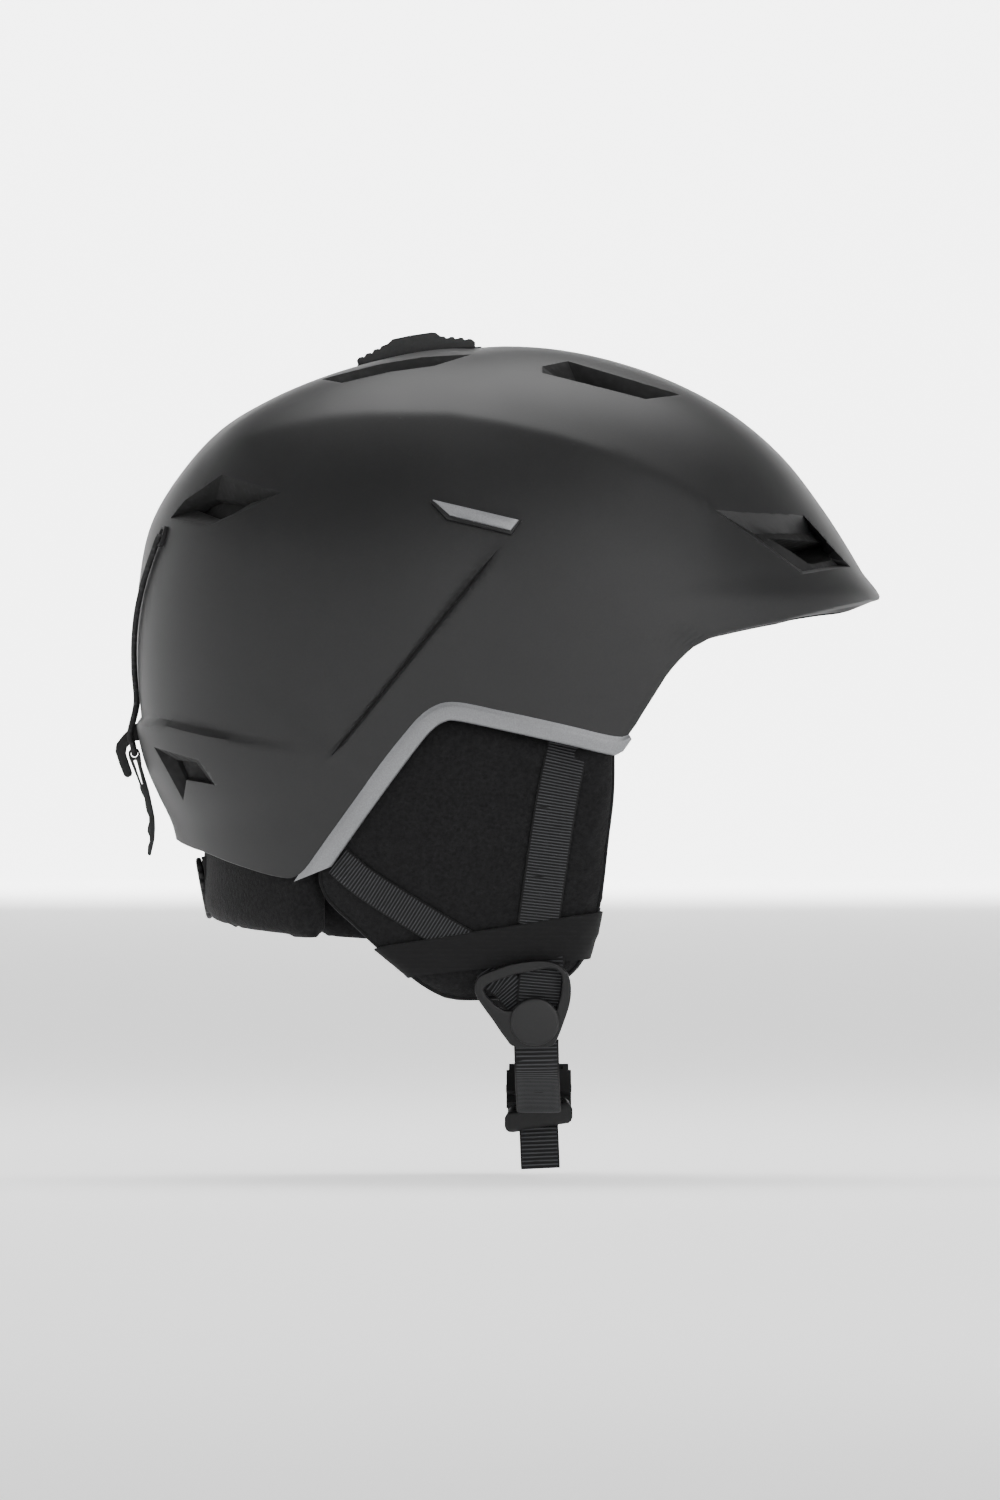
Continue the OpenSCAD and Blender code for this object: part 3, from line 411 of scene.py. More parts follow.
def webbing(name: str, path: Array, across: Array, width: float, thick: float,
            pitch: float = 1.2, relief: float = 0.22) -> bpy.types.Object:
    """Weave a flat strap whose ribs are real relief.

    Args:
        name: the piece's name.
        path: points along its middle, in millimetres.
        across: direction of its width at each point.
        width: its width.
        thick: its thickness.
        pitch: spacing of the ribs.
        relief: height of a rib.

    Returns:
        The strap, with a point attribute "rib" that is 1 on the ribs' crowns, where the finish paints its
        highlight.
    """
    length = np.linalg.norm(np.diff(path, axis=0), axis=1).sum()
    steps = max(int(round(length / pitch)) * SAMPLES_PER_RIB, 2 * SAMPLES_PER_RIB)
    at = np.linspace(0, len(path) - 1, steps + 1)
    grid = np.arange(len(path))
    mid = np.stack([np.interp(at, grid, path[:, k]) for k in range(3)], axis=1)
    side = np.stack([np.interp(at, grid, across[:, k]) for k in range(3)], axis=1)
    along = tangents(mid)
    side = units(side - along * (side * along).sum(1, keepdims=True))
    face = np.cross(along, side)
    lanes = np.array([-1, -0.965, -0.9, -0.6, -0.3, 0, 0.3, 0.6, 0.9, 0.965, 1])
    edge = 1 - np.abs(lanes) ** 14 * 0.75
    rings, ribs = [], []
    for i, (m, s, f) in enumerate(zip(mid, side, face)):
        wave = 0.5 + 0.5 * math.cos(2 * math.pi * i / SAMPLES_PER_RIB)
        rise = (thick / 2 - relief * (1 - wave)) * edge
        half = width / 2
        top = m + np.outer(lanes * half, s) + np.outer(rise, f)
        low = m + np.outer(lanes[::-1] * half, s) - np.outer(rise[::-1], f)
        rings.append(np.vstack([top, low]))
        # the selvedge is plain and dark, the ribs' crowns are light
        # the ribs' crowns get a painted highlight, and the plain selvedge gets almost none
        lane = np.where(np.abs(lanes) > 0.95, 0.15, 1.0)
        ribs += list(wave * lane) + list(wave * lane[::-1])
    points, faces = loft(rings)
    obj = make(name, points, faces, WEBBING, 60)
    layer = obj.data.attributes.new("rib", "FLOAT", "POINT")
    rib_height_and_highlight_at = {tuple(np.round(p * MM, 6)): r for p, r in zip(points, ribs)}
    layer.data.foreach_set("value", [rib_height_and_highlight_at.get(tuple(np.round(tuple(v.co), 6)), 0.0)
                                     for v in obj.data.vertices])
    return obj


def tube(name: str, path: Array, radius: float, finish: Finish, sides: int = 12) -> bpy.types.Object:
    """Sweep a round section along a path.

    Args:
        name: the piece's name.
        path: points along its middle, in millimetres.
        radius: its radius.
        finish: what it is dressed in.
        sides: points round the section.

    Returns:
        The tube.
    """
    along = tangents(path)
    # nearly along X, which the path never follows
    side = units(np.cross(along, np.array([1.0, 0.013, 0.0])))
    other = np.cross(along, side)
    turn = around(sides)
    rings = [p + radius * (np.outer(np.cos(turn), s) + np.outer(np.sin(turn), o))
             for p, s, o in zip(path, side, other)]
    return make(name, *loft(rings), finish, 60)


def column(name: str, outline: Outline, low: float, high: float) -> bpy.types.Object:
    """Extrude a plan outline [x, y] along Z, for cutting."""
    return make(name, *loft([np.array([[x, y, z] for x, y in outline]) for z in (low, high)]), NYLON)


def crosswise(name: str, outline: Outline, low: float, high: float, finish: Finish) -> bpy.types.Object:
    """Extrude a side outline [x, z] along Y."""
    return make(name, *loft([np.array([[x, y, z] for x, z in outline]) for y in (low, high)]), finish)


def slab(name: str, outline: Outline, y_low: float, y_high: float, finish: Finish, round_mm: float = 0.5,
         holes: Sequence[Outline] = (), place: Matrix | None = None) -> bpy.types.Object:
    """Extrude a side outline [x, z] along Y, cut its holes and round its edges.

    Args:
        name: the piece's name.
        outline: corners of the outline.
        y_low: lower end along Y.
        y_high: upper end along Y.
        finish: what it is dressed in.
        round_mm: radius of the edges.
        holes: outlines cut right through.
        place: where it goes, in millimetres.

    Returns:
        The piece.
    """
    obj = crosswise(name, outline, y_low, y_high, finish)
    cut(obj, [crosswise(name + "_hole", hole, y_low - 5, y_high + 5, finish) for hole in holes])
    if round_mm:
        round_edges(obj, round_mm, 28)
    if place is not None:
        move_mm(obj, place)
    soften(obj, 40)
    return obj


def mirrored(obj: bpy.types.Object, name: str) -> bpy.types.Object:
    """Copy a piece to the wearer's left.

    Args:
        obj: the right-hand piece.
        name: the copy's name.

    Returns:
        The copy.
    """
    twin = obj.copy()
    twin.data = obj.data.copy()
    twin.name = name
    bpy.context.scene.collection.objects.link(twin)
    twin.data.transform(Matrix.Scale(-1, 4, (0, 1, 0)))
    twin.data.flip_normals()
    return twin


def settle(obj: bpy.types.Object, voxel_mm: float, cap_mm: float,
           keep_inside: Callable[[Array], Array] | None = None) -> None:
    """Puff a cushion with a cloth simulation and apply the result.

    Args:
        obj: the cushion's starting solid.
        voxel_mm: size of the remesh.
        cap_mm: the furthest that a point may move.
        keep_inside: moves points, in millimetres, out of their neighbours' space.
    """
    apply(obj, "REMESH", mode="VOXEL", voxel_size=voxel_mm * MM)
    start = np.array([v.co for v in obj.data.vertices])
    cloth = obj.modifiers.new("cloth", "CLOTH")
    cloth.settings.quality = 5
    cloth.settings.mass = 0.2
    cloth.settings.use_pressure = True
    cloth.settings.uniform_pressure_force = CLOTH_PRESSURE
    cloth.settings.effector_weights.gravity = 0
    cloth.collision_settings.use_collision = False
    scene = bpy.context.scene
    for step in range(1, CLOTH_STEPS + 1):
        scene.frame_set(step)
    graph = bpy.context.evaluated_depsgraph_get()
    done = obj.evaluated_get(graph).to_mesh()
    moved = np.array([v.co for v in done.vertices])
    obj.evaluated_get(graph).to_mesh_clear()
    obj.modifiers.remove(cloth)
    scene.frame_set(1)
    shift = moved - start
    length = np.linalg.norm(shift, axis=1, keepdims=True)
    start = start + shift * np.minimum(1, cap_mm * MM / np.maximum(length, 1e-9))
    if keep_inside is not None:
        start = keep_inside(start / MM) * MM
    obj.data.vertices.foreach_set("co", start.ravel())
    obj.data.update()
    apply(obj, "SMOOTH", factor=0.5, iterations=2)
    apply(obj, "SUBSURF", levels=1)
    obj.data.shade_smooth()


def ride(obj: bpy.types.Object, body: str, *nodes: str) -> bpy.types.Object:
    """Ride a piece on a body, in place of CAD nodes.

    Args:
        obj: the piece.
        body: the CAD body that it moves with.
        nodes: CAD nodes that it stands for.

    Returns:
        The piece.
    """
    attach(obj, body)
    if nodes:
        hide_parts(*nodes)
    LOG.info("%s rides on %s: %d faces", obj.name, body, len(obj.data.polygons))
    return obj


def ride_pair(right: bpy.types.Object, node: str = "") -> bpy.types.Object:
    """Ride a right-hand piece and its mirrored twin on the root body.

    Args:
        right: the right-hand piece, with "_right" in its name.
        node: the CAD nodes that they stand for, without "_right" and "_left".

    Returns:
        The left twin.
    """
    left = mirrored(right, right.name.replace("_right", "_left"))
    for obj, side in ((right, "_right"), (left, "_left")):
        ride(obj, "root", *([node + side] if node else []))
    return left


# ---- The helmet's form ----------------------------------------------------

# Reaches of the drawn lines in front, behind and above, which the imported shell's size scales
FRONT_REACH, BACK_REACH, CROWN_RISE = 159, 128.5, 111.3
# Where the shell's edge crosses the middle in front and behind, [distance from the centre, z]
FRONT_END, NAPE_END = (158.5, 16), (112.5, -77)
# How square the surface is over the head, and how fast it tucks in below the centre
CROWN_POWER, LOWER_TUCK = 2.4, 0.0013
# The foam cavity's half-length, half-width and height, and how square it is
CAVITY_SIZE, CAVITY_POWER = (101, 81, 84), 2.2
# How far each styling line stands out from the smooth surface or sinks into it
SHOULDER_RISE, LEDGE_RISE, PANEL_RISE, PANEL_DROP, LIP_DROP, TEMPLE_DROP = 1.9, 2.5, 0.8, 1.5, 2.6, 2.2
SEARCH_STEPS = 26
# Centre line of the shell in front and behind, and its lower edge seen from the side, [x, z]
FRONT_LINE = ((90, -150), (115, -120), (140, -70), (153, -30), (159, 0), (158.5, 16), (151, 26.6),
              (136.4, 49.7), (120.7, 69.7), (102, 85.6), (81.3, 97), (60.3, 104.5), (40, 109),
              (20, 111), (0, 111.3))
BACK_LINE = ((90, -150), (100, -122), (108, -95), (112.5, -77), (114.5, -69), (119.5, -58),
             (124, -46), (127.2, -22), (128.5, 0), (127.4, 22), (122.6, 44.6), (111, 64),
             (95.8, 80.4), (77, 91.8), (57.7, 99.9), (38.4, 105.5), (19.3, 109.4), (0, 111.3))
EDGE_LINE = ((154.5, 12.8), (146, 10.6), (135, 8.8), (123, 7), (111, 4.8), (100, 2.4), (93, 0.6),
             (88, -2.4), (82, -7), (76, -13.4), (71, -21), (65.5, -29.6), (61, -36.5), (56, -37.6),
             (40, -34), (12, -27.8), (-4, -24.6), (-11, -25), (-18, -29), (-26, -38), (-45, -63.5),
             (-61, -86), (-67, -91.2), (-75, -90.6), (-87, -87), (-103, -81))
# Styling lines of the shell, [x, z]
SHOULDER_LINE = ((-104, 62), (-97, 72), (-73.5, 79.3), (-53.9, 83.5), (-38, 84.7), (-7.3, 84.3), (11.5, 80.9),
                 (33, 75.8), (54, 69), (74, 60), (95, 47.5))
LEDGE_LINE = ((-131, -30.6), (-113.2, -32), (-101.3, -34.3), (-87.4, -38.1), (-67.8, -41.6), (-48, -43.8))
PANEL_LINE = ((15.4, 39.5), (-52.2, -44.2))
# Crease over the brim's rolled lip, and the fold where the brim leaves the temple
LIP_LINE = ((106, 3.6), (124.7, 8.6), (135, 11.0), (146, 13.6), (160, 16.6))
TEMPLE_LINE = ((68, 5.0), (92, -2.0))


def table_curve(table: Array, x: Array) -> Array:
    """Read a smooth curve through a table of [x, y] whose x rises.

    Args:
        table: the curve's points.
        x: where to read it.

    Returns:
        The curve's height at each x.
    """
    tx, ty = table[:, 0], table[:, 1]
    slope = np.zeros(len(tx))
    slope[1:-1] = (ty[2:] - ty[:-2]) / (tx[2:] - tx[:-2])
    i = np.clip(np.searchsorted(tx, x, side="right") - 1, 0, len(tx) - 2)
    w = tx[i + 1] - tx[i]
    s = np.clip((x - tx[i]) / w, 0, 1)
    return (ty[i] * (1 + 2 * s) * (1 - s) ** 2 + ty[i + 1] * s * s * (3 - 2 * s)
            + w * slope[i] * s * (1 - s) ** 2 - w * slope[i + 1] * s * s * (1 - s))


def ease(x: Array, low: float, high: float) -> Array:
    """Rise smoothly from 0 at low to 1 at high."""
    s = np.clip((x - low) / (high - low), 0, 1)
    return s * s * (3 - 2 * s)


class HelmetForm:
    """The shell's outer surface, as a distance from the head's centre in each direction."""

    def __init__(self) -> None:
        """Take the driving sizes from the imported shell."""
        low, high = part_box("shell")
        self.front_scale = high.x / MM / FRONT_REACH
        self.back_scale = -low.x / MM / BACK_REACH
        self.up_scale = high.z / MM / CROWN_RISE
        self.half_width = high.y / MM
        self.crown = high.z / MM
        self.front = self._polar(FRONT_LINE, self.front_scale)
        self.back = self._polar(BACK_LINE, self.back_scale)
        edge = np.array([self.sized(p) for p in EDGE_LINE])
        on = self.on_side(edge)
        bearing = np.degrees(np.arctan2(-on[:, 1], on[:, 0]))
        lat = np.degrees(np.arctan2(on[:, 2], np.hypot(on[:, 0], on[:, 1])))
        ends = [[turned, math.degrees(math.atan2(z * self.up_scale, x * scale))]
                for turned, (x, z), scale in ((0, FRONT_END, self.front_scale),
                                              (180, NAPE_END, self.back_scale))]
        self.edge = np.vstack([ends[0], np.stack([bearing, lat], axis=1), ends[1]])

    def _polar(self, line: Sequence, scale: float) -> Array:
        """Turn a centre line into [latitude, distance]."""
        p = np.array(line, float) * [scale, self.up_scale]
        return np.stack([np.degrees(np.arctan2(p[:, 1], p[:, 0])), np.hypot(p[:, 0], p[:, 1])], axis=1)

    def sized(self, p: Sequence[float]) -> list[float]:
        """Scale a side-view point to the shell's sizes."""
        return [p[0] * (self.back_scale if p[0] < 0 else self.front_scale), p[1] * self.up_scale]

    def radius(self, d: Array) -> Array:
        """Distance of the smooth surface from the head's centre.

        Args:
            d: N by 3 directions or points.

        Returns:
            N distances in millimetres.
        """
        h = np.maximum(np.hypot(d[:, 0], d[:, 1]), 1e-6)
        lat = np.degrees(np.arctan2(d[:, 2], h))
        cos, sin = np.cos(np.radians(lat)), np.sin(np.radians(lat))
        mid = np.where(d[:, 0] >= 0, table_curve(self.front, lat), table_curve(self.back, lat))
        upper = ((np.abs(cos) / self.half_width) ** CROWN_POWER
                 + (np.abs(sin) / self.crown) ** CROWN_POWER) ** (-1 / CROWN_POWER)
        tuck = np.maximum(LOWER_TUCK * sin * sin, 1e-9)
        lower = (np.sqrt(cos * cos + 4 * tuck * self.half_width) - cos) / (2 * tuck)
        side = np.where(lat >= 0, upper, np.where(lat > -0.5, self.half_width, lower))
        power = 2 + np.where(d[:, 0] < 0, 0.2, 0.4) * cos
        return ((np.abs(d[:, 0]) / h / mid) ** power + (np.abs(d[:, 1]) / h / side) ** power) ** (-1 / power)

    def _reach(self, along: Callable[[Array], Array], count: int, far: float, depth: float = 0.0) -> Array:
        """Find where the surface lies along parallel lines.

        Args:
            along: turns a distance along each line into its point.
            count: how many lines there are.
            far: a distance that lies outside the surface on every line.
            depth: how far below the surface to stop.

        Returns:
            N distances in millimetres.
        """
        low, high = np.zeros(count), np.full(count, far)
        for _ in range(SEARCH_STEPS):
            middle = (low + high) / 2
            q = along(middle)
            inside = np.linalg.norm(q, axis=1) < self.radius(q) - depth
            low, high = np.where(inside, middle, low), np.where(inside, high, middle)
        return low

    def side_y(self, p: Array, depth: float = 0.0) -> Array:
        """Half-width of the surface, sunk by depth, at side-view points.

        Args:
            p: N by 2 points [x, z].
            depth: how far below the surface.

        Returns:
            N half-widths.
        """
        return self._reach(lambda y: np.stack([p[:, 0], y, p[:, 1]], axis=1), len(p), 180.0, depth)

    def on_side(self, p: Array, depth: float = 0.0) -> Array:
        """Points of the right side at side-view points, sunk by depth."""
        p = np.asarray(p, float).reshape(-1, 2)
        return np.stack([p[:, 0], -self.side_y(p, depth), p[:, 1]], axis=1)

    def side_normal(self, p: Array) -> Array:
        """Outward normals of the right side at side-view points."""
        p = np.asarray(p, float).reshape(-1, 2)
        here = self.on_side(p)
        return units(np.cross(self.on_side(p + [1, 0]) - here, self.on_side(p + [0, 1]) - here))

    def styled_line(self, line: Array) -> tuple[Array, Array]:
        """Points of the right side's styled surface at side-view points, with their normals."""
        surface, normal = self.on_side(line), self.side_normal(line)
        return surface + normal * self.styled(surface)[:, None], normal

    def back_x(self, y: float, z: float) -> float:
        """How far back the surface lies at a place seen from behind."""
        return -self._reach(lambda x: np.array([[-x[0], y, z]]), 1, 200.0)[0]

    def top_z(self, x: float, y: float = 0.0) -> float:
        """Height of the surface over a place seen from above."""
        return self._reach(lambda z: np.array([[x, y, z[0]]]), 1, 200.0)[0]

    def edge_lat(self, bearing: Array) -> Array:
        """Latitude of the shell's lower edge at bearings from the front, in degrees."""
        b = np.abs((np.asarray(bearing, float) + 180) % 360 - 180)
        return table_curve(self.edge, b)

    def directions(self, bearing: Array, lat: Array) -> Array:
        """Unit directions from bearings and latitudes in degrees."""
        b, a = np.radians(bearing), np.radians(lat)
        return np.stack([np.cos(a) * np.cos(b), np.cos(a) * np.sin(b), np.sin(a)], axis=-1)

    def cavity(self, d: Array, inset: float = 0.0) -> Array:
        """Distance of the foam's inner face from the head's centre."""
        length, width, height = (size - inset for size in CAVITY_SIZE)
        h = ((np.abs(d[:, 0]) / length) ** CAVITY_POWER
             + (np.abs(d[:, 1]) / width) ** CAVITY_POWER) ** (1 / CAVITY_POWER)
        over = (h ** CAVITY_POWER
                + (np.maximum(d[:, 2], 0) / height) ** CAVITY_POWER) ** (-1 / CAVITY_POWER)
        return np.where(d[:, 2] <= 0, 1 / np.maximum(h, 1e-6), over)

    def styled(self, q: Array) -> Array:
        """How far the styled surface stands out from the smooth one.

        Args:
            q: N by 3 points of the smooth surface.

        Returns:
            N distances: the shoulder's ridge, the rear ledge, the step at the panel line, the
            brim's lip and the fold at the temple.
        """
        x, y, z = q[:, 0], np.abs(q[:, 1]), q[:, 2]
        shoulder = np.array(SHOULDER_LINE, float)
        off = z - np.interp(x, shoulder[:, 0], shoulder[:, 1])
        slope = np.interp(x, (shoulder[1:, 0] + shoulder[:-1, 0]) / 2,
                          np.diff(shoulder[:, 1]) / np.diff(shoulder[:, 0]))
        off = off / np.sqrt(1 + slope ** 2)
        soft = np.sqrt(off ** 2 + 1.2 ** 2) - 1.2
        fade = ease(x, -104, -80) * (1 - ease(x, 88, 104)) * ease(y, 18, 34)
        out = SHOULDER_RISE * np.exp(-soft / 10) * fade
        ledge = np.array(LEDGE_LINE, float)
        under = np.interp(x, ledge[:, 0], ledge[:, 1]) - z
        height = LEDGE_RISE * (1 - ease(x, -104, -50))
        out = out + height * ease(under, -1.3, 1.3) * np.exp(-np.maximum(under, 0) / 26)
        (x0, z0), (x1, z1) = PANEL_LINE
        length = math.hypot(x1 - x0, z1 - z0)
        along = ((x - x0) * (x1 - x0) + (z - z0) * (z1 - z0)) / length ** 2
        ahead = ((x - x0) * (z1 - z0) - (z - z0) * (x1 - x0)) / -length
        panel = ease(along, 0.0, 0.3) * (1 - ease(along, 0.96, 1.02)) * ease(y, 40, 60)
        step = np.where(ahead > 0, PANEL_RISE * np.exp(-ahead / 16), -PANEL_DROP * np.exp(ahead / 16))
        out = out + panel * step * ease(np.abs(ahead), 0, 1.4)
        lip = np.array(LIP_LINE, float)
        below = np.interp(x, lip[:, 0], lip[:, 1]) - z
        out = out - LIP_DROP * ease(below, -0.2, 1.8) * ease(x, 100, 126)
        (x0, z0), (x1, z1) = TEMPLE_LINE
        below = z0 + (z1 - z0) * (x - x0) / (x1 - x0) - z
        fold = ease(x, x0, x1) * (1 - ease(x, 94, 104)) * ease(y, 40, 60)
        return out - TEMPLE_DROP * fold * ease(below, -0.3, 1.1) * np.exp(-np.maximum(below, 0) / 12)


FORM = HelmetForm()
WALL_EDGE, WALL_DEEP = 3.0, 10.0


def wall_at(rise: Array) -> Array:
    """Thickness of the visible shell, from its edge (0) inwards (1)."""
    return WALL_EDGE + (WALL_DEEP - WALL_EDGE) * ease(rise, 0.06, 0.24)


OVERSHOOT = 0.3  # share by which a vent's cutter reaches past the rim, so that its walls keep their slope


@dataclass(frozen=True)
class Vent:
    """One vent of the right side: a sloped recess round a hole.

    Attributes:
        rim: side-view corners [x, z] of the recess.
        throat: corners of the hole, one for each corner of the rim.
        depth: depth of the hole's edge below the surface.
        over: the vent faces up, so its walls go straight down.
    """

    rim: tuple
    throat: tuple
    depth: float
    over: bool = False

    def cutter(self, name: str, reach: float, hole_only: bool = False) -> bpy.types.Object:
        """Make the solid that cuts the vent.

        Args:
            name: the cutter's name.
            reach: how far the hole goes in.
            hole_only: leave the recess out.

        Returns:
            The cutter.
        """
        def even(corners: tuple) -> Array:
            """Put extra points along each side."""
            c = np.array([FORM.sized(p) for p in corners])
            return np.vstack([c[i] + (c[(i + 1) % len(c)] - c[i]) * s
                              for i in range(len(c)) for s in np.linspace(0, 1, 6, endpoint=False)])

        rim, throat = even(self.rim), even(self.throat)
        up = np.array([0, 0, 1.0])
        hole = FORM.on_side(throat) - up * self.depth if self.over else FORM.on_side(throat, self.depth)
        inwards = hole / np.linalg.norm(hole, axis=1, keepdims=True)
        if hole_only:
            rings = [hole + inwards * 10]
        elif self.over:
            mouth = (FORM.on_side(rim) * (1 + OVERSHOOT) - FORM.on_side(throat) * OVERSHOOT
                     + up * (self.depth * OVERSHOOT + 1))
            rings = [mouth + up * 6, mouth, hole]
        else:
            lift = FORM.styled(FORM.on_side(rim))
            mouth = FORM.on_side(throat + (rim - throat) * (1 + OVERSHOOT),
                                 -lift - OVERSHOOT * (self.depth + lift))
            rings = [mouth + units(mouth) * 8, mouth, hole]
        rings.append(hole - inwards * reach)
        return make(name, *loft(rings), BEAD_FOAM)


VENTS = (
    Vent(((95.5, 47.6), (128.2, 46.4), (146, 27.7), (127.4, 24.6), (124.2, 27.0)),
         ((112.6, 37.6), (134.4, 35.8), (134.6, 29.2), (127.4, 27.6), (125.6, 27.9)), 8.0),
    Vent(((27, 103.4), (37.3, 105.7), (80.9, 92.7), (67.4, 90.7), (27, 100.7)),
         ((37.5, 103.2), (41, 104.2), (76.5, 93.0), (67, 91.8), (38.5, 100.4)), 7.0, True),
    Vent(((-57.4, 98.6), (-34.3, 104.5), (-18.5, 107.2), (1.2, 108.4), (-13.5, 103.5), (-30.4, 101.1),
          (-48.9, 96.7)),
         ((-52, 98.2), (-33.5, 103.2), (-18.5, 105.9), (-6, 106.6), (-15, 103.7), (-30.6, 101.7),
          (-46.5, 97.7)), 7.0, True),
    Vent(((-114.3, 46.2), (-109, 52.7), (-94.7, 62.2), (-72.4, 54.9), (-84, 49.2), (-98.9, 43.0)),
         ((-104.3, 49), (-101, 51.6), (-97, 53.2), (-83.5, 51.4), (-90.1, 47.4), (-95.1, 45.4)), 7.0),
    Vent(((-120.4, -41.2), (-103.6, -45.9), (-97.2, -55.2), (-108.2, -53.4), (-109.6, -61)),
         ((-112.2, -45.9), (-104.4, -46.8), (-98.6, -54.6), (-107.6, -53.0), (-108.4, -53.6)), 2.4),
)


# ---- Shell and foam -------------------------------------------------------

@dataclass
class ShellAssembly:
    """The hard shell, its foam, its silver edge trim and its blank badge."""

    columns: int = 300
    rows: int = 150
    inner_rows: int = 44
    first_row: float = 0.004
    row_growth: float = 1.35
    ducted_vents: int = 3
    trim_width: float = 6.5
    trim_thick: float = 3.2
    trim_end: tuple = ((-68.6, -97.0), (-66.8, -91.8), (-55.4, -87.2))

    def rings(self, lats: Array, depth: Callable[[Array], Array], styled: bool) -> list[Array]:
        """Rings of points round the helmet.

        Args:
            lats: shares of the way from the edge to the crown.
            depth: depth below the surface for a share.
            styled: follow the styling lines.

        Returns:
            One ring for each share.
        """
        bearing = np.arange(self.columns) * 360 / self.columns
        edge = FORM.edge_lat(bearing)
        out = []
        for v in lats:
            d = FORM.directions(bearing, edge + (89.4 - edge) * v)
            r = FORM.radius(d)
            if styled:
                r = r + FORM.styled(d * r[:, None])
            out.append(d * (r - depth(np.array([v])))[:, None])
        return out

    def shell(self) -> bpy.types.Object:
        """Build the shell with its vents and its panel groove."""
        # rows lie closer together near the edge, where the creases are
        rows = self.first_row + (1 - self.first_row) * np.linspace(0, 1, self.rows) ** self.row_growth
        outer = self.rings(rows, lambda v: 0 * v, True)
        inner = self.rings(np.linspace(self.first_row, 0.985, self.inner_rows), wall_at, False)
        lip = [(outer[0] + inner[0]) / 2]
        drop = units(outer[0] - outer[1]) * 0.9
        lip = [outer[0] * 0.86 + inner[0] * 0.14 + drop * 0.75, lip[0] + drop,
               outer[0] * 0.14 + inner[0] * 0.86 + drop * 0.75]
        obj = make("shell_skin", *loft(inner[::-1] + lip[::-1] + outer), SHELL_ABS)
        cutters = []
        for i, vent in enumerate(VENTS):
            right = vent.cutter(f"vent_{i}", 24)
            cutters += [right, mirrored(right, f"vent_{i}_left")]
        groove = self.groove()
        cut(obj, cutters + [groove, mirrored(groove, "groove_left")] + [self.stem_slot()])
        round_edges(obj, 0.55, 38, segments=2)
        soften(obj, 42)
        return ride(obj, "root", "shell")

    def groove(self) -> bpy.types.Object:
        """Thin wedge that cuts the crease between the side panels."""
        line = smooth_path(PANEL_LINE, 2.0)
        share = np.linspace(0, 1, len(line))
        size = ease(share, 0.0, 0.22) * (1 - 0.6 * ease(share, 0.93, 1))
        surface, normal = FORM.styled_line(line)
        along = tangents(surface)
        side = np.cross(normal, along)
        rings = [np.array([p + s * 1.5 * k + n * 1.0, p - s * 1.5 * k + n * 1.0,
                           p - n * (1.9 * k - 0.35)])
                 for p, s, n, k in zip(surface, side, normal, np.maximum(size, 0.05))]
        return make("groove", *loft(rings), BEAD_FOAM)

    def stem_slot(self) -> bpy.types.Object:
        """Slot in the crown for the vent slider's stem."""
        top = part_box("slider_track")[1].z / MM
        return column("stem_slot", ((-24, -3.6), (-4, -3.6), (-4, 3.6), (-24, 3.6)), top - 30, top + 5)

    def foam(self) -> bpy.types.Object:
        """Build the foam liner, with air channels behind the vents."""
        bearing = np.arange(180) * 2.0
        edge = FORM.edge_lat(bearing)
        rings = []
        for layer, shares in (("in", np.linspace(1, 0, 30)), ("out", np.linspace(0, 1, 30))):
            for v in shares:
                d = FORM.directions(bearing, edge + 1.6 + (88 - edge) * v)
                outer = FORM.radius(d) - wall_at(np.array([max(v - 0.01, 0)])) - 0.6
                # air channels run fore and aft inside the crown
                lane = np.abs(np.sin(np.radians(bearing * 3)))
                channel = 3.5 * ease(lane, 0.86, 0.95) * ease(np.array([v]), 0.35, 0.5) * (
                    1 - ease(np.array([v]), 0.86, 0.95))
                inner = np.minimum(FORM.cavity(d), outer - 5) + channel
                rings.append(d * (inner if layer == "in" else outer)[:, None])
        obj = make("foam_body", *loft(rings), BEAD_FOAM)
        cutters = []
        for i, vent in enumerate(VENTS[:self.ducted_vents]):
            right = vent.cutter(f"duct_{i}", 70, hole_only=True)
            cutters += [right, mirrored(right, f"duct_{i}_left")]
        cut(obj, cutters)
        soften(obj, 40)
        return ride(obj, "root", "foam_liner")

    def trim(self) -> None:
        """Sweep the silver strip round the ear opening."""
        line = smooth_path([FORM.sized(p) for p in (*EDGE_LINE[12:22], self.trim_end[0])], 1.6)
        surface, normal = FORM.styled_line(line)
        along = tangents(surface)
        away = units(np.cross(normal, along))
        run = np.concatenate([[0], np.cumsum(np.linalg.norm(np.diff(surface, axis=0), axis=1))])
        grow = 0.25 + 0.75 * ease(run, 0, 5)
        section = ((-0.3, 0.1), (-0.3, 0.8), (0.0, 0.84), (0.08, 0.93), (0.2, 1.0), (0.45, 1.02), (0.7, 1.0),
                   (0.88, 0.9), (0.96, 0.72), (1.0, 0.4), (0.94, 0.08), (0.5, 0.0))
        rings = [np.array([p + w * (0.3 + u * self.trim_width * k) - n * (self.trim_thick * (1 - t) - 0.35)
                           for u, t in section])
                 for p, w, n, k in zip(surface, away, normal, grow)]
        right = make("trim_right", *loft(rings), SILVER, 50)
        # its rear end is cut off level with the nape's edge
        a, b = (np.array(FORM.sized(p)) for p in self.trim_end[1:])
        block = [a - (b - a) * 2, b + (b - a) * 2, b + (b - a) * 2 - [0, 30], a - (b - a) * 2 - [0, 30]]
        cut(right, [crosswise("trim_cut", block, -150, -20, SILVER)])
        round_edges(right, 0.4, 50, segments=2)
        soften(right, 50)
        ride_pair(right, "edge_trim")

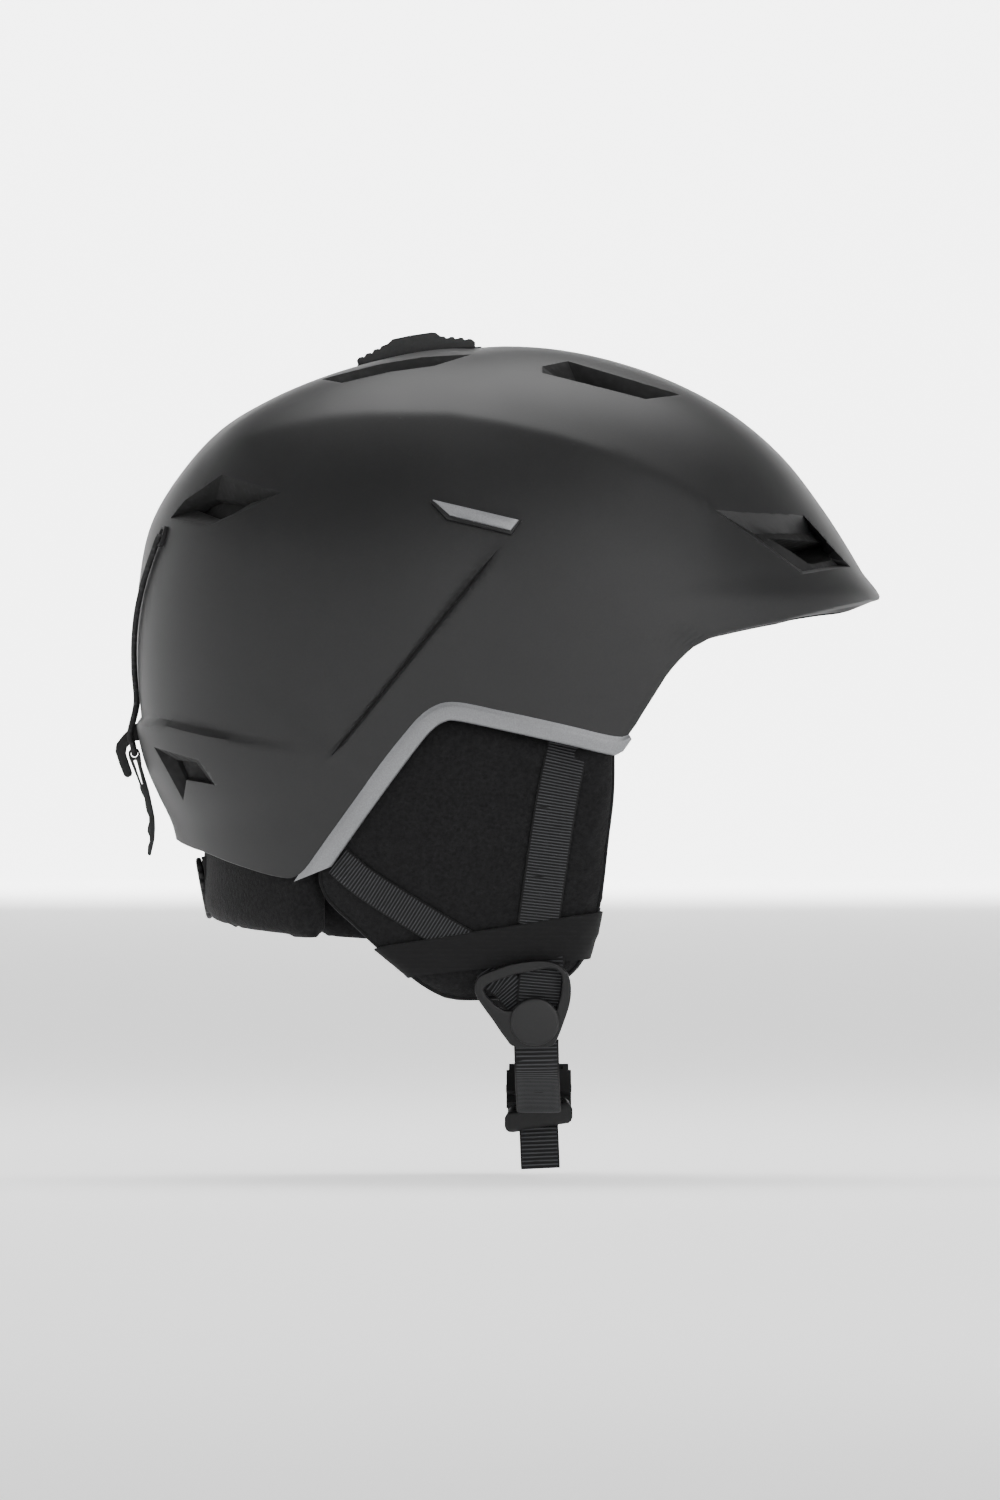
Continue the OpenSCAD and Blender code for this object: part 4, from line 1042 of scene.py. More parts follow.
    def badge(self) -> None:
        """Build the blank silver badge on its black foot."""
        face = ((-13.9, 51.4), (18.6, 43.9), (15.6, 40.1), (-7.4, 45.7))
        foot = ((-15, 51.3), (19.6, 44.1), (15.9, 38.7), (-8.6, 44.4))
        for label, outline, low, high, finish in (("base", foot, -0.4, 1.9, NYLON),
                                                  ("plate", face, 1.2, 2.9, SILVER)):
            ring = np.vstack([np.linspace(outline[i], outline[(i + 1) % 4], 9)[:-1] for i in range(4)])
            ring = np.array([FORM.sized(p) for p in ring])
            normal = FORM.side_normal(ring)
            middle = ring.mean(0)
            rings = [FORM.on_side(middle + (ring - middle) * k) + normal * h
                     for k, h in ((0.98, low), (1, low + 0.3), (1, high - 0.5), (0.99, high - 0.15),
                                  (0.965, high))]
            ride_pair(make(f"badge_{label}_right_plate", *loft(rings), finish, 50), f"badge_{label}")

    def build(self) -> None:
        """Build every piece."""
        self.shell()
        self.foam()
        self.trim()
        self.badge()


# ---- Padding and webbing --------------------------------------------------

EAR_LINE = ((57.2, -36), (25, -31.5), (2, -26.5), (-10, -25), (-18, -29), (-28.5, -41.5),
            (-45, -64.5), (-58.5, -85), (-57, -98), (-46, -109), (-37.5, -117), (-31.5, -122.5),
            (-25, -128), (-17.5, -133.5), (-9.5, -137.5), (-1, -138.6), (12, -138), (24, -136),
            (34, -132.5), (41.6, -127), (46, -120.5), (49.5, -109.5), (52.4, -97), (55, -75), (57, -57))
FRONT_WEB = ((38.5, -34), (36.5, -45), (33, -62), (29, -88), (26.2, -108))
REAR_WEB = ((-50, -84), (-41, -91.5), (-28, -100), (-9, -111.5), (-2, -115.5))
SLEEVE_TOP = ((-27, -115.8), (50, -103.4))
SLEEVE_LOW = ((-12, -126.8), (46, -121))
# Where the webbing comes out from under the sleeve on its way to the strap divider, [x, z]
SLEEVE_EXITS = {"front": (27.2, -113), "rear": (2, -117)}


@dataclass
class Padding:
    """Ear pads, their sleeves and side webbing, the neck pad and the comfort liner."""

    ear_depth: float = 5.2
    ear_thick: float = 14.0
    strap_gap: float = 0.75
    strap_thick: float = 1.3
    sleeve_lift: float = 1.75
    piping_radius: float = 0.8
    neck_tuck: float = 8.9
    neck_thick: float = 13.5
    wing_tuck: float = 24.0
    wing_thick: float = 11.0

    def ear_ring(self, step_mm: float) -> tuple[Array, Array]:
        """The ear pad's outline as a closed ring of side-view points, and its middle."""
        line = smooth_path([FORM.sized(p) for p in (*EAR_LINE, EAR_LINE[0])], step_mm)[:-1]
        return line, (line.min(0) + line.max(0)) / 2

    def ear_pad(self) -> bpy.types.Object:
        """Puff the right ear pad in the space of its CAD solid."""
        line, middle = self.ear_ring(4.0)
        out, inn = self.ear_depth + 1.4, self.ear_depth + self.ear_thick
        steps = ((0.05, inn), (0.5, inn), (0.85, inn), (0.96, inn - 2), (0.99, inn - 5),
                 (0.99, out + 5), (0.965, out + 2), (0.9, out + 0.4), (0.6, out), (0.05, out))
        rings = []
        for scale, depth in steps:
            p = middle + (line - middle) * scale
            q = FORM.on_side(p)
            q[:, 1] += depth
            rings.append(q)
        obj = make("ear_cushion_right", *loft(rings), FLEECE)

        def keep(p: Array) -> Array:
            """Hold the outer face under the webbing and behind the shell's edge."""
            limit = -FORM.side_y(p[:, [0, 2]]) + self.ear_depth
            outside = p[:, 1] < limit
            p[outside, 1] = limit[outside]
            return p

        settle(obj, 3.2, 3.0, keep)
        return obj

    def lay_on_pad(self, pad: bpy.types.Object, points: Array, lift: float) -> Array:
        """Lay side-view points on the ear pad.

        Args:
            pad: the ear pad.
            points: N by 2 points [x, z] in millimetres.
            lift: height above the pad.

        Returns:
            N by 3 points.
        """
        tree = BVHTree.FromObject(pad, bpy.context.evaluated_depsgraph_get())
        out = []
        for x, z in points:
            hit = tree.ray_cast(Vector((x * MM, -0.3, z * MM)), Vector((0, 1, 0)))[0]
            y = hit.y / MM if hit is not None else -FORM.side_y(np.array([[x, z]]))[0] + self.ear_depth
            out.append([x, y - lift, z])
        out = np.array(out)
        for _ in range(6):
            out[1:-1, 1] = (out[:-2, 1] + 2 * out[1:-1, 1] + out[2:, 1]) / 4
        return out

    def side_strap(self, pad: bpy.types.Object, name: str, line: Outline, width: float, node: str) -> None:
        """Lay one strap on each ear pad.

        Args:
            pad: the right ear pad.
            name: the straps' name, without "_right".
            line: side-view points of its middle.
            width: its width.
            node: the CAD nodes that they stand for.
        """
        flat = smooth_path([FORM.sized(p) for p in line], 2.0)
        path = self.lay_on_pad(pad, flat, self.strap_gap)
        across = np.cross(FORM.side_normal(flat), tangents(path))
        ride_pair(webbing(name + "_right", path, across, width, self.strap_thick), node)

    def sleeve(self, pad: bpy.types.Object) -> bpy.types.Object:
        """Copy the band of the pad between two lines as a smooth sleeve over it."""
        obj = pad.copy()
        obj.data = pad.data.copy()
        obj.name = "ear_sleeve_band_right"
        bpy.context.scene.collection.objects.link(obj)
        mesh = bmesh.new()
        mesh.from_mesh(obj.data)
        for (a, b), keep_low in ((SLEEVE_TOP, True), (SLEEVE_LOW, False)):
            normal = Vector((a[1] - b[1], 0, b[0] - a[0])).normalized()
            bmesh.ops.bisect_plane(mesh, geom=mesh.verts[:] + mesh.edges[:] + mesh.faces[:],
                                   plane_co=(a[0] * MM, 0, a[1] * MM), plane_no=normal,
                                   clear_outer=keep_low, clear_inner=not keep_low)
        for vert in mesh.verts:
            vert.co += vert.normal * self.sleeve_lift * MM
        mesh.to_mesh(obj.data)
        mesh.free()
        apply(obj, "SOLIDIFY", thickness=0.8 * MM, offset=-1.0)
        round_edges(obj, 0.25, 40, segments=2)
        dress(obj, KNIT)
        soften(obj, 50)
        return obj

    def piping(self, pad: bpy.types.Object) -> bpy.types.Object:
        """Run a piping cord round the ear pad, inside its edge."""
        line, middle = self.ear_ring(3.0)
        path = self.lay_on_pad(pad, middle + (line - middle) * 0.955, 0.1)
        along = units(np.roll(path, -1, axis=0) - np.roll(path, 1, axis=0))
        side = units(np.cross(along, np.array([0, 1.0, 0])))
        up = np.cross(along, side)
        turn = around(8)
        rings = [p + self.piping_radius * (np.outer(np.cos(turn), s) + np.outer(np.sin(turn), u))
                 for p, s, u in zip(path, side, up)]
        return make("ear_piping_right", *loft(rings, closed=True), KNIT, 60)

    def ears(self) -> None:
        """Build both ear pads with all that lies on them."""
        pad = self.ear_pad()
        self.side_strap(pad, "ear_web_front", FRONT_WEB, 16, "strap_front")
        self.side_strap(pad, "ear_web_rear", REAR_WEB, 12.5, "strap_rear")
        sleeve = self.sleeve(pad)
        piping = self.piping(pad)
        for right, node, fill in ((pad, "ear_pad", 0.7), (sleeve, "ear_sleeve", 0.9)):
            left = ride_pair(right, node)
        ride_pair(piping)

    def neck_roll(self, name: str, bearings: Array, tuck: float, thick: float) -> bpy.types.Object:
        """Puff one length of the neck pad.

        Args:
            name: the cushion's name.
            bearings: where it runs, in degrees from the front.
            tuck: how far inside the shell's lower wall its outer face lies.
            thick: its thickness.

        Returns:
            The cushion.
        """
        rings = []
        for b in bearings:
            away = abs(b - 180)
            drop = away * 0.14
            low = FORM.directions(np.array([b]), np.array([-34.0]))
            out = FORM.radius(low)[0] * math.cos(math.radians(34)) - tuck - max(away - 50, 0) * 0.75
            d = FORM.directions(np.array([b]), FORM.edge_lat(np.array([b])))
            top = (d * FORM.radius(d)[:, None])[0, 2] + 7
            side = np.array([math.cos(math.radians(b)), math.sin(math.radians(b))])
            inn, half = out - thick, min(7, thick / 2)
            section = ((out - 3, top), (out - 1.4, top - 3), (out - 1.4, -100 - drop),
                       (out - 3, -105.5 - drop), (out - half, -108.4 - drop), (inn + 3, -106 - drop),
                       (inn + 1.4, -99 - drop), (inn + 1.4, top - 4), (inn + 3, top))
            rings.append(np.array([[side[0] * r, side[1] * r, z] for r, z in section]))
        obj = make(name, *loft(rings), FLEECE)
        settle(obj, 3.0, 2.0)
        return obj

    def neck(self) -> None:
        """Build the neck pad and the wings that tuck in behind the ear pads."""
        ride(self.neck_roll("neck_cushion", np.linspace(128, 232, 46), self.neck_tuck, self.neck_thick),
             "root", "neck_pad")
        wing = self.neck_roll("neck_wing_cushion_right", np.linspace(223, 240, 11), self.wing_tuck,
                              self.wing_thick)
        ride_pair(wing, "neck_wing")

    def comfort(self) -> None:
        """Build the quilted crown and brow pads inside the foam."""
        bearing = np.arange(72) * 5.0
        rings = []
        for lats, inset in ((np.linspace(86, 49, 10), 6.0), (np.linspace(49, 86, 6), 2.8)):
            for lat in lats:
                d = FORM.directions(bearing, np.full(72, lat))
                quilt = 1.6 * np.exp(-(np.sin(np.radians(bearing * 3)) / 0.22) ** 2) if inset > 3 else 0
                rings.append(d * FORM.cavity(d, inset - quilt if inset > 3 else inset)[:, None])
        crown = make("crown_cushion", *loft(rings), FLEECE)
        settle(crown, 4.5, 2.0)
        ride(crown, "root", "crown_pad")
        rings = []
        for b in np.linspace(-65, 65, 60):
            low = FORM.edge_lat(np.array([b]))[0] + 5
            full = 6.0 - 1.3 * math.exp(-(math.sin(math.radians(b * 4)) / 0.2) ** 2)
            rings.append(np.vstack([(d := FORM.directions(np.array([b]), np.array([lat])))
                                    * FORM.cavity(d, inset)[:, None]
                                    for lat, inset in ((low, 3.2), (low, full - 1), (low + 3, full),
                                                       (22, full), (25, full - 1), (25, 3.2))]))
        brow = make("brow_cushion", *loft(rings), FLEECE)
        settle(brow, 3.6, 1.5)
        ride(brow, "root", "brow_pad")

    def build(self) -> None:
        """Build every piece."""
        self.ears()
        self.neck()
        self.comfort()


# ---- Chin strap -----------------------------------------------------------

@dataclass
class ChinStrap:
    """Dividers, webbing, ladder lock and tail under the chin."""

    lean_deg: float = 10.0
    rise_deg: float = 19.0
    web: float = 17.0
    thick: float = 1.4
    rib_pitch: float = 1.6
    stem: float = 27.0

    def __post_init__(self) -> None:
        """Place the dividers' and the buckle's frames."""
        self.divider_at = np.array([*FORM.sized((25.5, 0))[:1], 0, FORM.sized((0, -128))[1]])
        self.divider_at[1] = -(FORM.side_y(self.divider_at[[0, 2]][None])[0] - 0.15)
        lean = math.radians(self.lean_deg)
        self.foot = np.array([self.divider_at[0] + 1, -self.divider_at[1] - self.stem * math.sin(lean) - 1.15,
                              self.divider_at[2] - self.stem * math.cos(lean)])
        self.lock = np.array([self.foot[0], -6, FORM.sized((0, -181))[1]])
        self.buckle = (Matrix.Translation(self.lock.tolist())
                       @ Matrix.Rotation(math.radians(self.rise_deg), 4, "X"))
        self.divider = (Matrix.Translation(self.divider_at.tolist())
                        @ Matrix.Rotation(lean, 4, "X"))

    def in_buckle(self, x: float, y: float, z: float) -> Array:
        """A point of the buckle's frame in the helmet's frame."""
        return np.array(self.buckle @ Vector((x, y, z)))

    def in_divider(self, x: float, y: float, z: float) -> Array:
        """A point of the right divider's frame in the helmet's frame."""
        return np.array(self.divider @ Vector((x, y, z)))

    def dividers(self) -> None:
        """Build the Y-shaped strap dividers, their caps and the webbing through them."""
        rim = smooth_path(((-23.4, -2.6), (-22.6, -0.2), (-20.5, 1.5), (-10, 5.4), (-1, 6.8), (5, 6.6),
                           (9.4, 4.6), (12.2, 1), (13.2, -4), (12.6, -10), (10.4, -17), (7.6, -24),
                           (4.5, -26.4), (-8, -26.4), (-11.6, -23.4), (-17, -15.6), (-21.4, -9.4),
                           (-23.4, -5.4), (-23.4, -2.6)), 1.4)[:-1]
        slot = ((-20.2, -4.4), (-18.6, -2.2), (-9, 1.4), (4.5, 4.0), (7.6, 3.6), (9.6, 1.6), (9.9, -2),
                (9.2, -7), (7.8, -12), (-12, -12.5), (-15.5, -10.4), (-19, -6.8))
        plate = slab("divider_plate_right", rim, -2.6, 0.2, NYLON, 0.8, [slot], self.divider)
        mid = np.array([-0.7, -16.6])
        turn = around(48)
        rings = [np.array([self.in_divider(mid[0] + r * math.cos(t), -2.3 - h, mid[1] + r * math.sin(t))
                           for t in turn])
                 for r, h in ((9.2, 0), (9.4, 0.5), (9.2, 1.0), (8.7, 1.35), (7.8, 1.5), (6.0, 1.75),
                              (3.5, 1.95), (1.0, 2.0))]
        cap = make("divider_stud_right", *loft(rings), NYLON_SMOOTH, 40)
        for label, route, width in (
                ("front", ((2.2, 2.6, 5.6), (2.0, 1.4, 2.6), (1.4, 0.9, -4), (0.8, 1.0, -12),
                           (0.4, 1.0, -20)), 17.0),
                ("rear", ((-16, 1.9, 0), (-12, 1.9, -3), (-8, 2.0, -7.5), (-3, 2.0, -14)), 12.0)):
            # it comes out from under the ear pad's sleeve
            under = np.array(FORM.sized(SLEEVE_EXITS[label]))
            lead = FORM.on_side([under, under * 0.4 + self.in_divider(*route[0])[[0, 2]] * 0.6])
            lead[:, 1] += [8.6, 6.6]
            path = smooth_path([*lead, *(self.in_divider(*p) for p in route)], 1.5)
            face = np.array(self.divider.to_3x3() @ Vector((0, -1, 0)))
            across = np.cross(np.tile(face, (len(path), 1)), tangents(path))
            ride_pair(webbing(f"divider_web_{label}_right", path, across, width, 1.2))
        ride_pair(plate, "strap_divider")
        ride_pair(cap, "divider_cap")

    def chin_web(self, name: str, path: Array, width: float, pitch: float | None = None) -> bpy.types.Object:
        """Weave webbing whose width lies along X."""
        return webbing(name, path, np.tile([1.0, 0, 0], (len(path), 1)), width, self.thick,
                       pitch or self.rib_pitch)

    def straps(self) -> None:
        """Weave the chin strap's two sides and its tail."""
        x, y, z = self.foot
        right = smooth_path([(x - 1, -y - 0.6, z + 3), (x - 1, -y, z), (x - 0.8, -y + 3.5, z - 9),
                             (x - 0.4, -y * 0.66, z - 18), self.lock + [0, -22, 1.5],
                             self.lock + [0, -5.2, 3.9]], 1.5)
        strap = self.chin_web("chin_web_right", right, self.web)
        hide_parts("chin_strap_right")
        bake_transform(strap)
        end = self.in_buckle(0, 46.9, 0)
        left = smooth_path([end, end * 0.6 + np.array([x, y, z - 5]) * 0.4, (x - 0.6, y - 3.5, z - 9),
                            (x - 1, y, z), (x - 1, y + 0.5, z + 3)], 1.5)
        ride(self.chin_web("chin_web_left", left, self.web), "chin_loop", "chin_strap_left")
        start = self.in_buckle(0, -6.2, -4.6)
        tail = smooth_path([start + p for p in ((0, 3, 4.0), (0, 0.4, 1.2), (0.2, -0.4, -3), (0.4, -0.4, -8),
                                                (0.7, 0, -14.6))], 1.5)
        ride(self.chin_web("chin_web_tail", tail, 15.0, 1.5), "buckle_male", "strap_tail")

    def lock_frame(self) -> None:
        """Build the ladder lock as one bent frame with two bars."""
        outline = smooth_path(((-12.5, -7), (-11.9, -1), (-10, 2.7), (-6, 3.3), (6, 3.3), (10, 2.7),
                               (11.9, -1), (12.5, -7), (11, -9.3), (-11, -9.3), (-12.5, -7)), 1.2)[:-1]
        rings = []
        for z, k in ((-3.8, 0.74), (-3.3, 0.88), (-2.2, 0.96), (-0.6, 1.0), (2.8, 1.0), (4.0, 0.96),
                     (4.8, 0.86)):
            rings.append(np.array([self.in_buckle(px * k, max(py, -7.4) * k, z + px * 0.14)
                                   for px, py in outline]))
        body = make("ladder_lock_frame", *loft(rings), NYLON)
        holes = []
        for i, (low, high) in enumerate(((-5.2, -2.2), (-0.8, 1.8))):
            ring = [(-9.3, low), (9.3, low), (9.3, high), (-9.3, high)]
            walls = [np.array([self.in_buckle(px, py, z) for px, py in ring]) for z in (-10, 10)]
            holes.append(make(f"lock_slot_{i}", *loft(walls), NYLON))
        cut(body, holes)
        round_edges(body, 0.6, 30)
        soften(body, 40)
        ride(body, "buckle_male", "ladder_lock")

    def build(self) -> None:
        """Build every piece."""
        self.dividers()
        self.straps()
        self.lock_frame()


# ---- Crown slider, fit dial and goggle retainer ---------------------------

@dataclass
class Fittings:
    """Vent slider, fit dial and goggle retainer."""

    thumb_half: float = 8.4
    thumb_height: float = 0.72
    lobes: int = 18
    lobe_depth: float = 0.75
    cord_radius: float = 1.15
    cord_turn: float = 5.8
    hook_half: float = 4.0
    tab_half: float = 3.4
    eye_radius: float = 1.4

    @staticmethod
    def joint(name: str) -> dict:
        """The frame's joint of that name."""
        return next(j for j in frame["joints"] if j["name"] == name)

    def slider(self) -> None:
        """Build the vent slider's toothed thumb piece."""
        joint = self.joint("vent_slide")
        centre = np.array([joint["pos_m"][0], joint["pos_m"][2]]) / MM
        x0 = FORM.sized((-20, 0))[0]
        reach = math.hypot(x0 - centre[0], FORM.top_z(x0) - centre[1])

        def arc(x: float, lift: float) -> list[float]:
            """A point above the crown's arc."""
            a = math.asin((x - centre[0]) / reach)
            return [centre[0] + (reach + lift) * math.sin(a), centre[1] + (reach + lift) * math.cos(a)]

        thumb = ((-43, 0.6), (-41.9, 1.9), (-40.4, 1.9), (-40.1, 1.3), (-38.9, 2.9), (-37.3, 2.9),
                 (-37.0, 2.2), (-35.8, 4.0), (-34.2, 4.1), (-33.9, 3.4), (-32.8, 5.0), (-30.6, 5.4),
                 (-28.4, 7.4), (-22, 7.7), (-14, 7.8), (-12.3, 7.3), (-10.8, 5.2), (-9.2, 4.9),
                 (-8.9, 3.9), (-7.6, 3.9), (-7.3, 4.5), (-5.8, 4.2), (-5.5, 3.2), (-4.2, 3.2), (-3.9, 3.8),
                 (-2.4, 3.4), (-2.1, 2.4), (-0.9, 2.4), (-0.6, 2.9), (0.9, 2.4), (2.1, 0.8))
        top = [arc(FORM.sized((x, 0))[0], 1.9 + h * self.thumb_height) for x, h in thumb]
        low = [arc(x, -0.1) for x in np.linspace(2, -42.8, 12)]
        ride(slab("slider_thumb", top + low, -self.thumb_half, self.thumb_half, RUBBER, 0.35), "vent_slider",
             "vent_slider")

    def dial(self) -> None:
        """Build the lobed fit dial."""
        joint = self.joint("fit_dial_turn")
        axis = Vector(joint["axis"]).normalized()
        if axis.x > 0:
            axis = -axis
        side = Vector((0, 1, 0))
        up = axis.cross(side)
        middle = Vector(joint["pos_m"]) / MM
        turn = around(180)
        lobe = 0.5 - 0.5 * np.cos(turn * self.lobes)
        rings = []
        for r, h, amount in ((10.6, -1.15, 0.2), (11.6, -0.95, 0.8), (11.95, -0.4, 1), (11.95, 0.4, 1),
                             (11.6, 0.95, 0.8), (10.7, 1.2, 0.2), (9.6, 1.2, 0), (9.2, 0.75, 0),
                             (5.2, 0.75, 0), (4.8, 1.1, 0), (0.6, 1.2, 0)):
            rad = r - self.lobe_depth * amount * (1 - lobe)
            rings.append(np.array([middle + axis * h + side * (q * math.cos(t)) + up * (q * math.sin(t))
                                   for q, t in zip(rad, turn)]))
        ride(make("fit_dial_disc", *loft(rings), RUBBER, 40), "fit_dial", "fit_dial")

    def grommets(self, place: Array) -> None:
        """Set a flush rectangular grommet where each end of the cord enters the shell.

        Args:
            place: where the cord enters on the right side.
        """
        out = units(place)
        side = units(np.cross(np.array([0, 0, 1.0]), out))
        up = np.cross(out, side)
        corners = [(1, 0.7), (0.7, 1), (-0.7, 1), (-1, 0.7), (-1, -0.7), (-0.7, -1), (0.7, -1), (1, -0.7)]
        rings = [np.array([place + side * (a * w) + up * (b * h) + out * lift for a, b in corners])
                 for w, h, lift in ((2.9, 4.0, -5), (2.9, 4.0, 0.9), (2.6, 3.7, 1.2), (1.9, 3.0, 1.2),
                                    (1.7, 2.8, 0.9), (1.6, 2.7, -3.6))]
        right = make("cord_grommet_right", *loft(rings), NYLON, 40)
        ride(right, "root", "cord_anchors")
        ride(mirrored(right, "cord_grommet_left"), "root")

    def retainer(self) -> None:
        """Build the elastic cord, its hook and its pull tab."""
        low = np.array([FORM.sized((-129.2, 0))[0], 0, FORM.sized((0, -43.5))[1]])
        start = FORM.on_side([FORM.sized((-117.5, 39))])[0]
        turn = self.cord_turn
        route = [start * 0.96, start * 0.995, start + units(start) * 1.4]
        for y, z in ((-36.5, 32), (-30.5, 22), (-23.5, 11), (-17, 0), (-11.5, -12), (-8, -24)):
            z = FORM.sized((0, z))[1]
            route.append(np.array([FORM.back_x(y, z) - 1.5, y, z]))
        route += [low + p for p in ((-1.6, -turn, 8), (-0.6, -turn, 3.4), (0, -turn + 1.4, 0.4),
                                    (0, -2.4, 0))]
        half = smooth_path(route, 1.2)
        path = np.vstack([half, half[::-1] * [1, -1, 1]])
        cord = tube("retainer_cord", path, self.cord_radius, BRAID)
        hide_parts("goggle_cord")
        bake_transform(cord)
        hook = ((-127.9, -31.6), (-130.4, -33.2), (-133.6, -36.4), (-136.2, -39.8), (-136.5, -42.6),
                (-134.9, -47.6), (-133.1, -52), (-131.8, -52.7), (-130.2, -51.9), (-130.1, -50.6),
                (-131.4, -46.8), (-132.5, -43.4), (-132.2, -41.3), (-131, -39.8), (-128.9, -38.6),
                (-127.3, -38.4), (-127.3, -34.5))
        self.grommets(start)
        body = slab("retainer_hook", [FORM.sized(p) for p in hook], -self.hook_half, self.hook_half, NYLON)
        slot = [low[:2] + p for p in ((-10, -2.2), (10, -2.2), (10, 2.2), (-10, 2.2))]
        cut(body, [column("hook_slot", slot, low[2] - 20, low[2] + 3.2)])
        round_edges(body, 0.5, 30)
        soften(body, 40)
        ride(body, "root", "goggle_hook")
        blade = ((-2.3, 0.8), (-2.2, -1.2), (0.7, -8.4), (2.0, -11.8), (2.1, -13.2), (2.7, -14.9),
                 (3.9, -17.3), (4.1, -19), (4.3, -20.4), (4.7, -22.2), (5.6, -24.2), (5.7, -26.1),
                 (5.1, -28.2), (5.0, -30), (5.8, -31.8), (5.9, -33.6), (5.2, -35.6), (5.1, -38.6),
                 (5.6, -39.2), (6.3, -39.2), (7.7, -33), (8.0, -28.5), (7.8, -24.5), (7.2, -21.5),
                 (5.7, -14.5), (2.9, -5), (2.3, 0), (1.6, 1.7), (0, 2.4), (-1.5, 1.8))
        eye = [(self.eye_radius * math.cos(t), self.eye_radius * math.sin(t)) for t in around(24)]
        tab = slab("retainer_tab", blade, -self.tab_half, self.tab_half, RUBBER, 0.0,
                   [eye, ((-0.35, -2.6), (0.75, -2.4), (3.2, -11.8), (2.75, -11.6))])
        # its top is narrow, so that it passes between the hook's tines
        cut(tab, [column(f"tab_side_{i}", ((-10, a), (10, a), (10, b), (-10, b)), -10.6, 9)
                  for i, (a, b) in enumerate(((-9, -1.8), (1.8, 9)))])
        round_edges(tab, 0.35, 30, segments=2)
        move_mm(tab, Matrix.Translation(low.tolist()))
        soften(tab, 40)
        ride(tab, "goggle_tab", "goggle_tab")

    def build(self) -> None:
        """Build every piece."""
        self.slider()
        self.dial()
        self.retainer()


# ---- Pieces that keep their CAD shape -------------------------------------

def dress_cad() -> None:
    """Give every CAD node that still shows its finish."""
    by_slot = {f.slot: f for f in (SHELL_ABS, BEAD_FOAM, SILVER, NYLON, ACETAL, FLEECE, KNIT, WEBBING,
                                   BRAID, RUBBER, ZINC)}
    slots = {s["node"]: s["material_slot"] for s in frame["record"]["subparts"]}
    for name, obj in frame["nodes"].items():
        material = by_slot[slots[name]].build()
        for slot in obj.material_slots:
            slot.material = material
        LOG.info("%s keeps its shape in %s", name, material.name)


# ---- Studio ---------------------------------------------------------------

@dataclass(frozen=True)
class Softbox:
    """One area light.

    Attributes:
        name: the light's name.
        place: where it stands, in metres.
        size: its width and height.
        power: watts.
        target: the point that it is aimed at.
    """

    name: str
    place: tuple[float, float, float]
    size: tuple[float, float]
    power: float
    target: tuple[float, float, float] = (0.0, 0.0, 0.0)

    def build(self) -> None:
        """Make the light and aim it."""
        light = bpy.data.lights.new(self.name, "AREA")
        light.shape = "RECTANGLE"
        light.size, light.size_y = self.size
        light.energy = self.power
        obj = bpy.data.objects.new(self.name, light)
        obj.location = self.place
        aim = Vector(self.target) - Vector(self.place)
        obj.rotation_euler = aim.to_track_quat("-Z", "Y").to_euler()
        bpy.context.scene.collection.objects.link(obj)


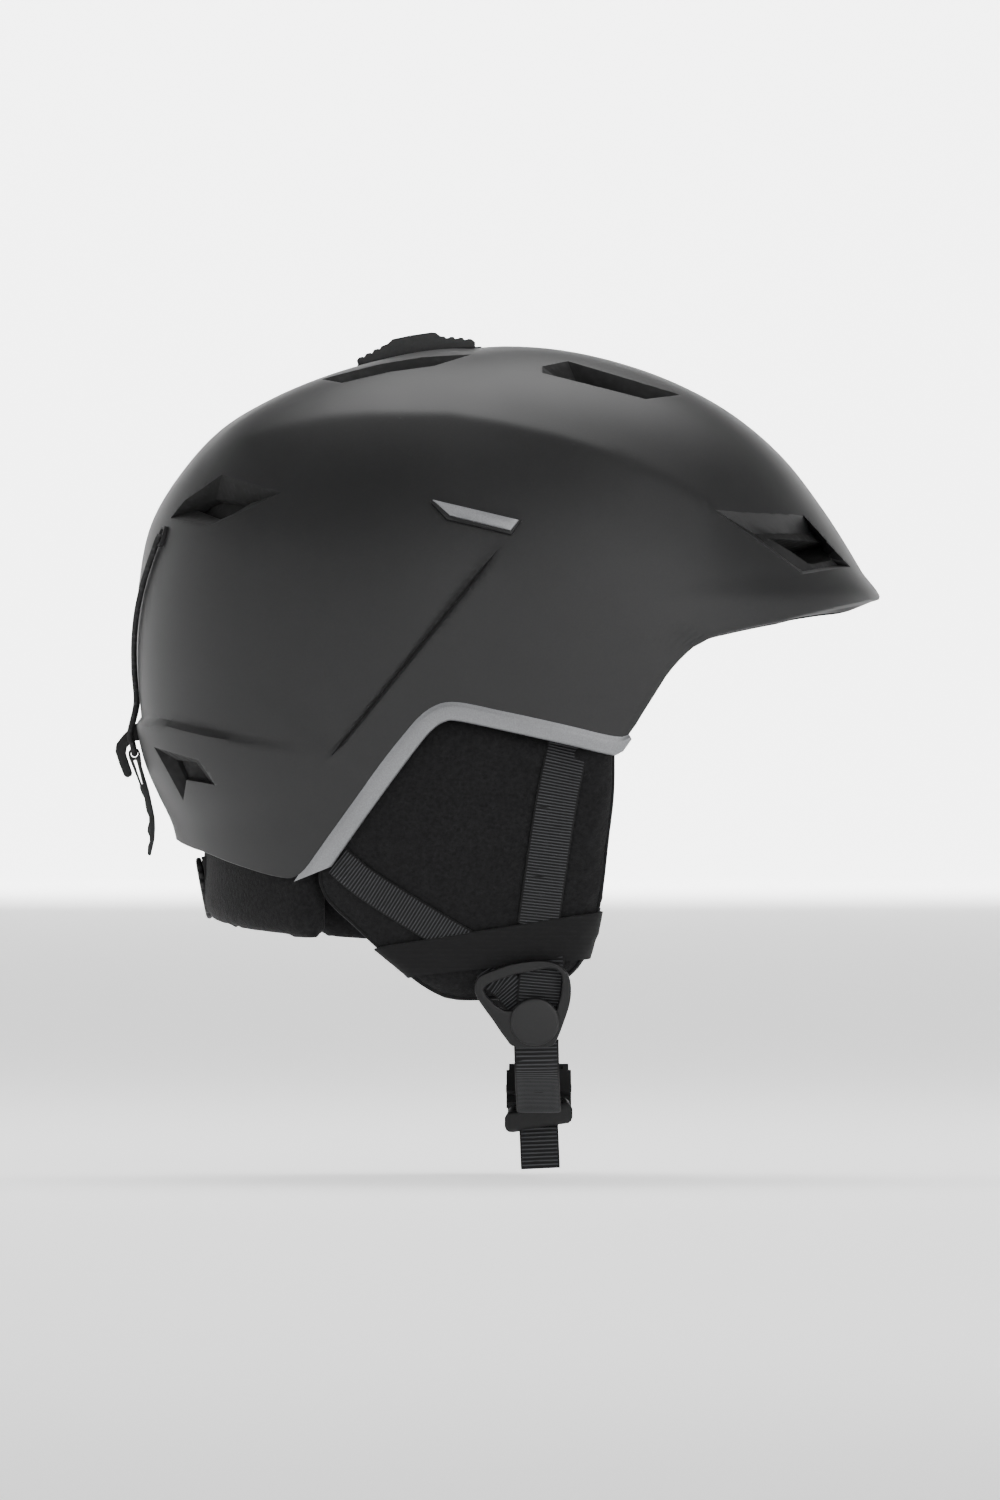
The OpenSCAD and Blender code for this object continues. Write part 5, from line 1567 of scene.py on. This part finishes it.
@dataclass
class Studio:
    """Pale floor in a curved backdrop, soft lights and a level side-on camera."""

    view_width_mm: float = 385.0
    aim: tuple[float, float, float] = (0.01155, 0.0, -0.04235)
    camera_distance: float = 7.0
    floor_reach: float = 16.5
    floor_bend: float = 2.0
    floor_gap: float = 0.004
    wall_height: float = 7.0
    lights: tuple[Softbox, ...] = (
        Softbox("overhead softbox", (0.1, 0.55, 1.7), (1.6, 1.3), 38.0),
        Softbox("front softbox", (1.2, -2.1, 0.8), (1.4, 1.4), 22.0),
        Softbox("backdrop light", (0.0, 13.8, 3.6), (4.0, 0.8), 1100.0, (0.0, 18.5, 0.8)),
    )

    def camera(self) -> None:
        """Make the camera."""
        data = bpy.data.cameras.new("camera")
        data.sensor_fit = "HORIZONTAL"
        data.sensor_width = 36
        data.lens = 36 * self.camera_distance / (self.view_width_mm * MM)
        data.clip_end = 60
        obj = bpy.data.objects.new("camera", data)
        obj.location = (self.aim[0], -self.camera_distance, self.aim[2])
        obj.rotation_euler = (math.radians(90), 0, 0)
        bpy.context.scene.collection.objects.link(obj)
        bpy.context.scene.camera = obj

    def floor(self) -> None:
        """Make the round floor, curving up into a wall on all sides."""
        reach, bend, ground = self.floor_reach, self.floor_bend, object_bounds()[0][2] - self.floor_gap
        profile = [(0.05, 0.0), (2.0, 0.0), (reach, 0.0)]
        profile += [(reach + bend * math.sin(a), bend * (1 - math.cos(a)))
                    for a in np.linspace(0.05, math.pi / 2, 16)]
        profile.append((reach + bend, self.wall_height))
        turn = around(96)
        points, faces = loft([np.array([[r * math.cos(t), r * math.sin(t), ground + z] for t in turn])
                              for r, z in profile])
        mesh = bpy.data.meshes.new("studio_floor")
        # the last face would close the bowl's top
        mesh.from_pydata(points.tolist(), [], faces[:-1])
        obj = bpy.data.objects.new("studio_floor", mesh)
        bpy.context.scene.collection.objects.link(obj)
        obj.data.shade_smooth()
        material = bpy.data.materials.new("matt studio paper")
        material.use_nodes = True
        shader = material.node_tree.nodes["Principled BSDF"]
        shader.inputs["Base Color"].default_value = hex_linear("f2f2f2")
        shader.inputs["Roughness"].default_value = 0.9
        # lit from behind, so that it stays white without bright lamps
        shader.inputs["Emission Color"].default_value = (1, 1, 1, 1)
        shader.inputs["Emission Strength"].default_value = 0.85
        obj.data.materials.append(material)
        obj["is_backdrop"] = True

    def world(self) -> None:
        """Light everything evenly from a white sky."""
        world = bpy.data.worlds.new("studio")
        world.use_nodes = True
        bpy.context.scene.world = world
        sky = world.node_tree.nodes["Background"]
        sky.inputs["Color"].default_value = (1, 1, 1, 1)
        sky.inputs["Strength"].default_value = 0.25

    def build(self) -> None:
        """Build the studio."""
        self.camera()
        self.floor()
        self.world()
        for light in self.lights:
            light.build()


def main() -> None:
    """Build the studio and every sub-assembly."""
    logging.basicConfig(level=logging.INFO, format="%(name)s: %(message)s")
    for part in (Studio(), ShellAssembly(), Padding(), ChinStrap(), Fittings()):
        LOG.info("building %s", type(part).__name__)
        part.build()
    dress_cad()


if __name__ == "__main__":
    main()
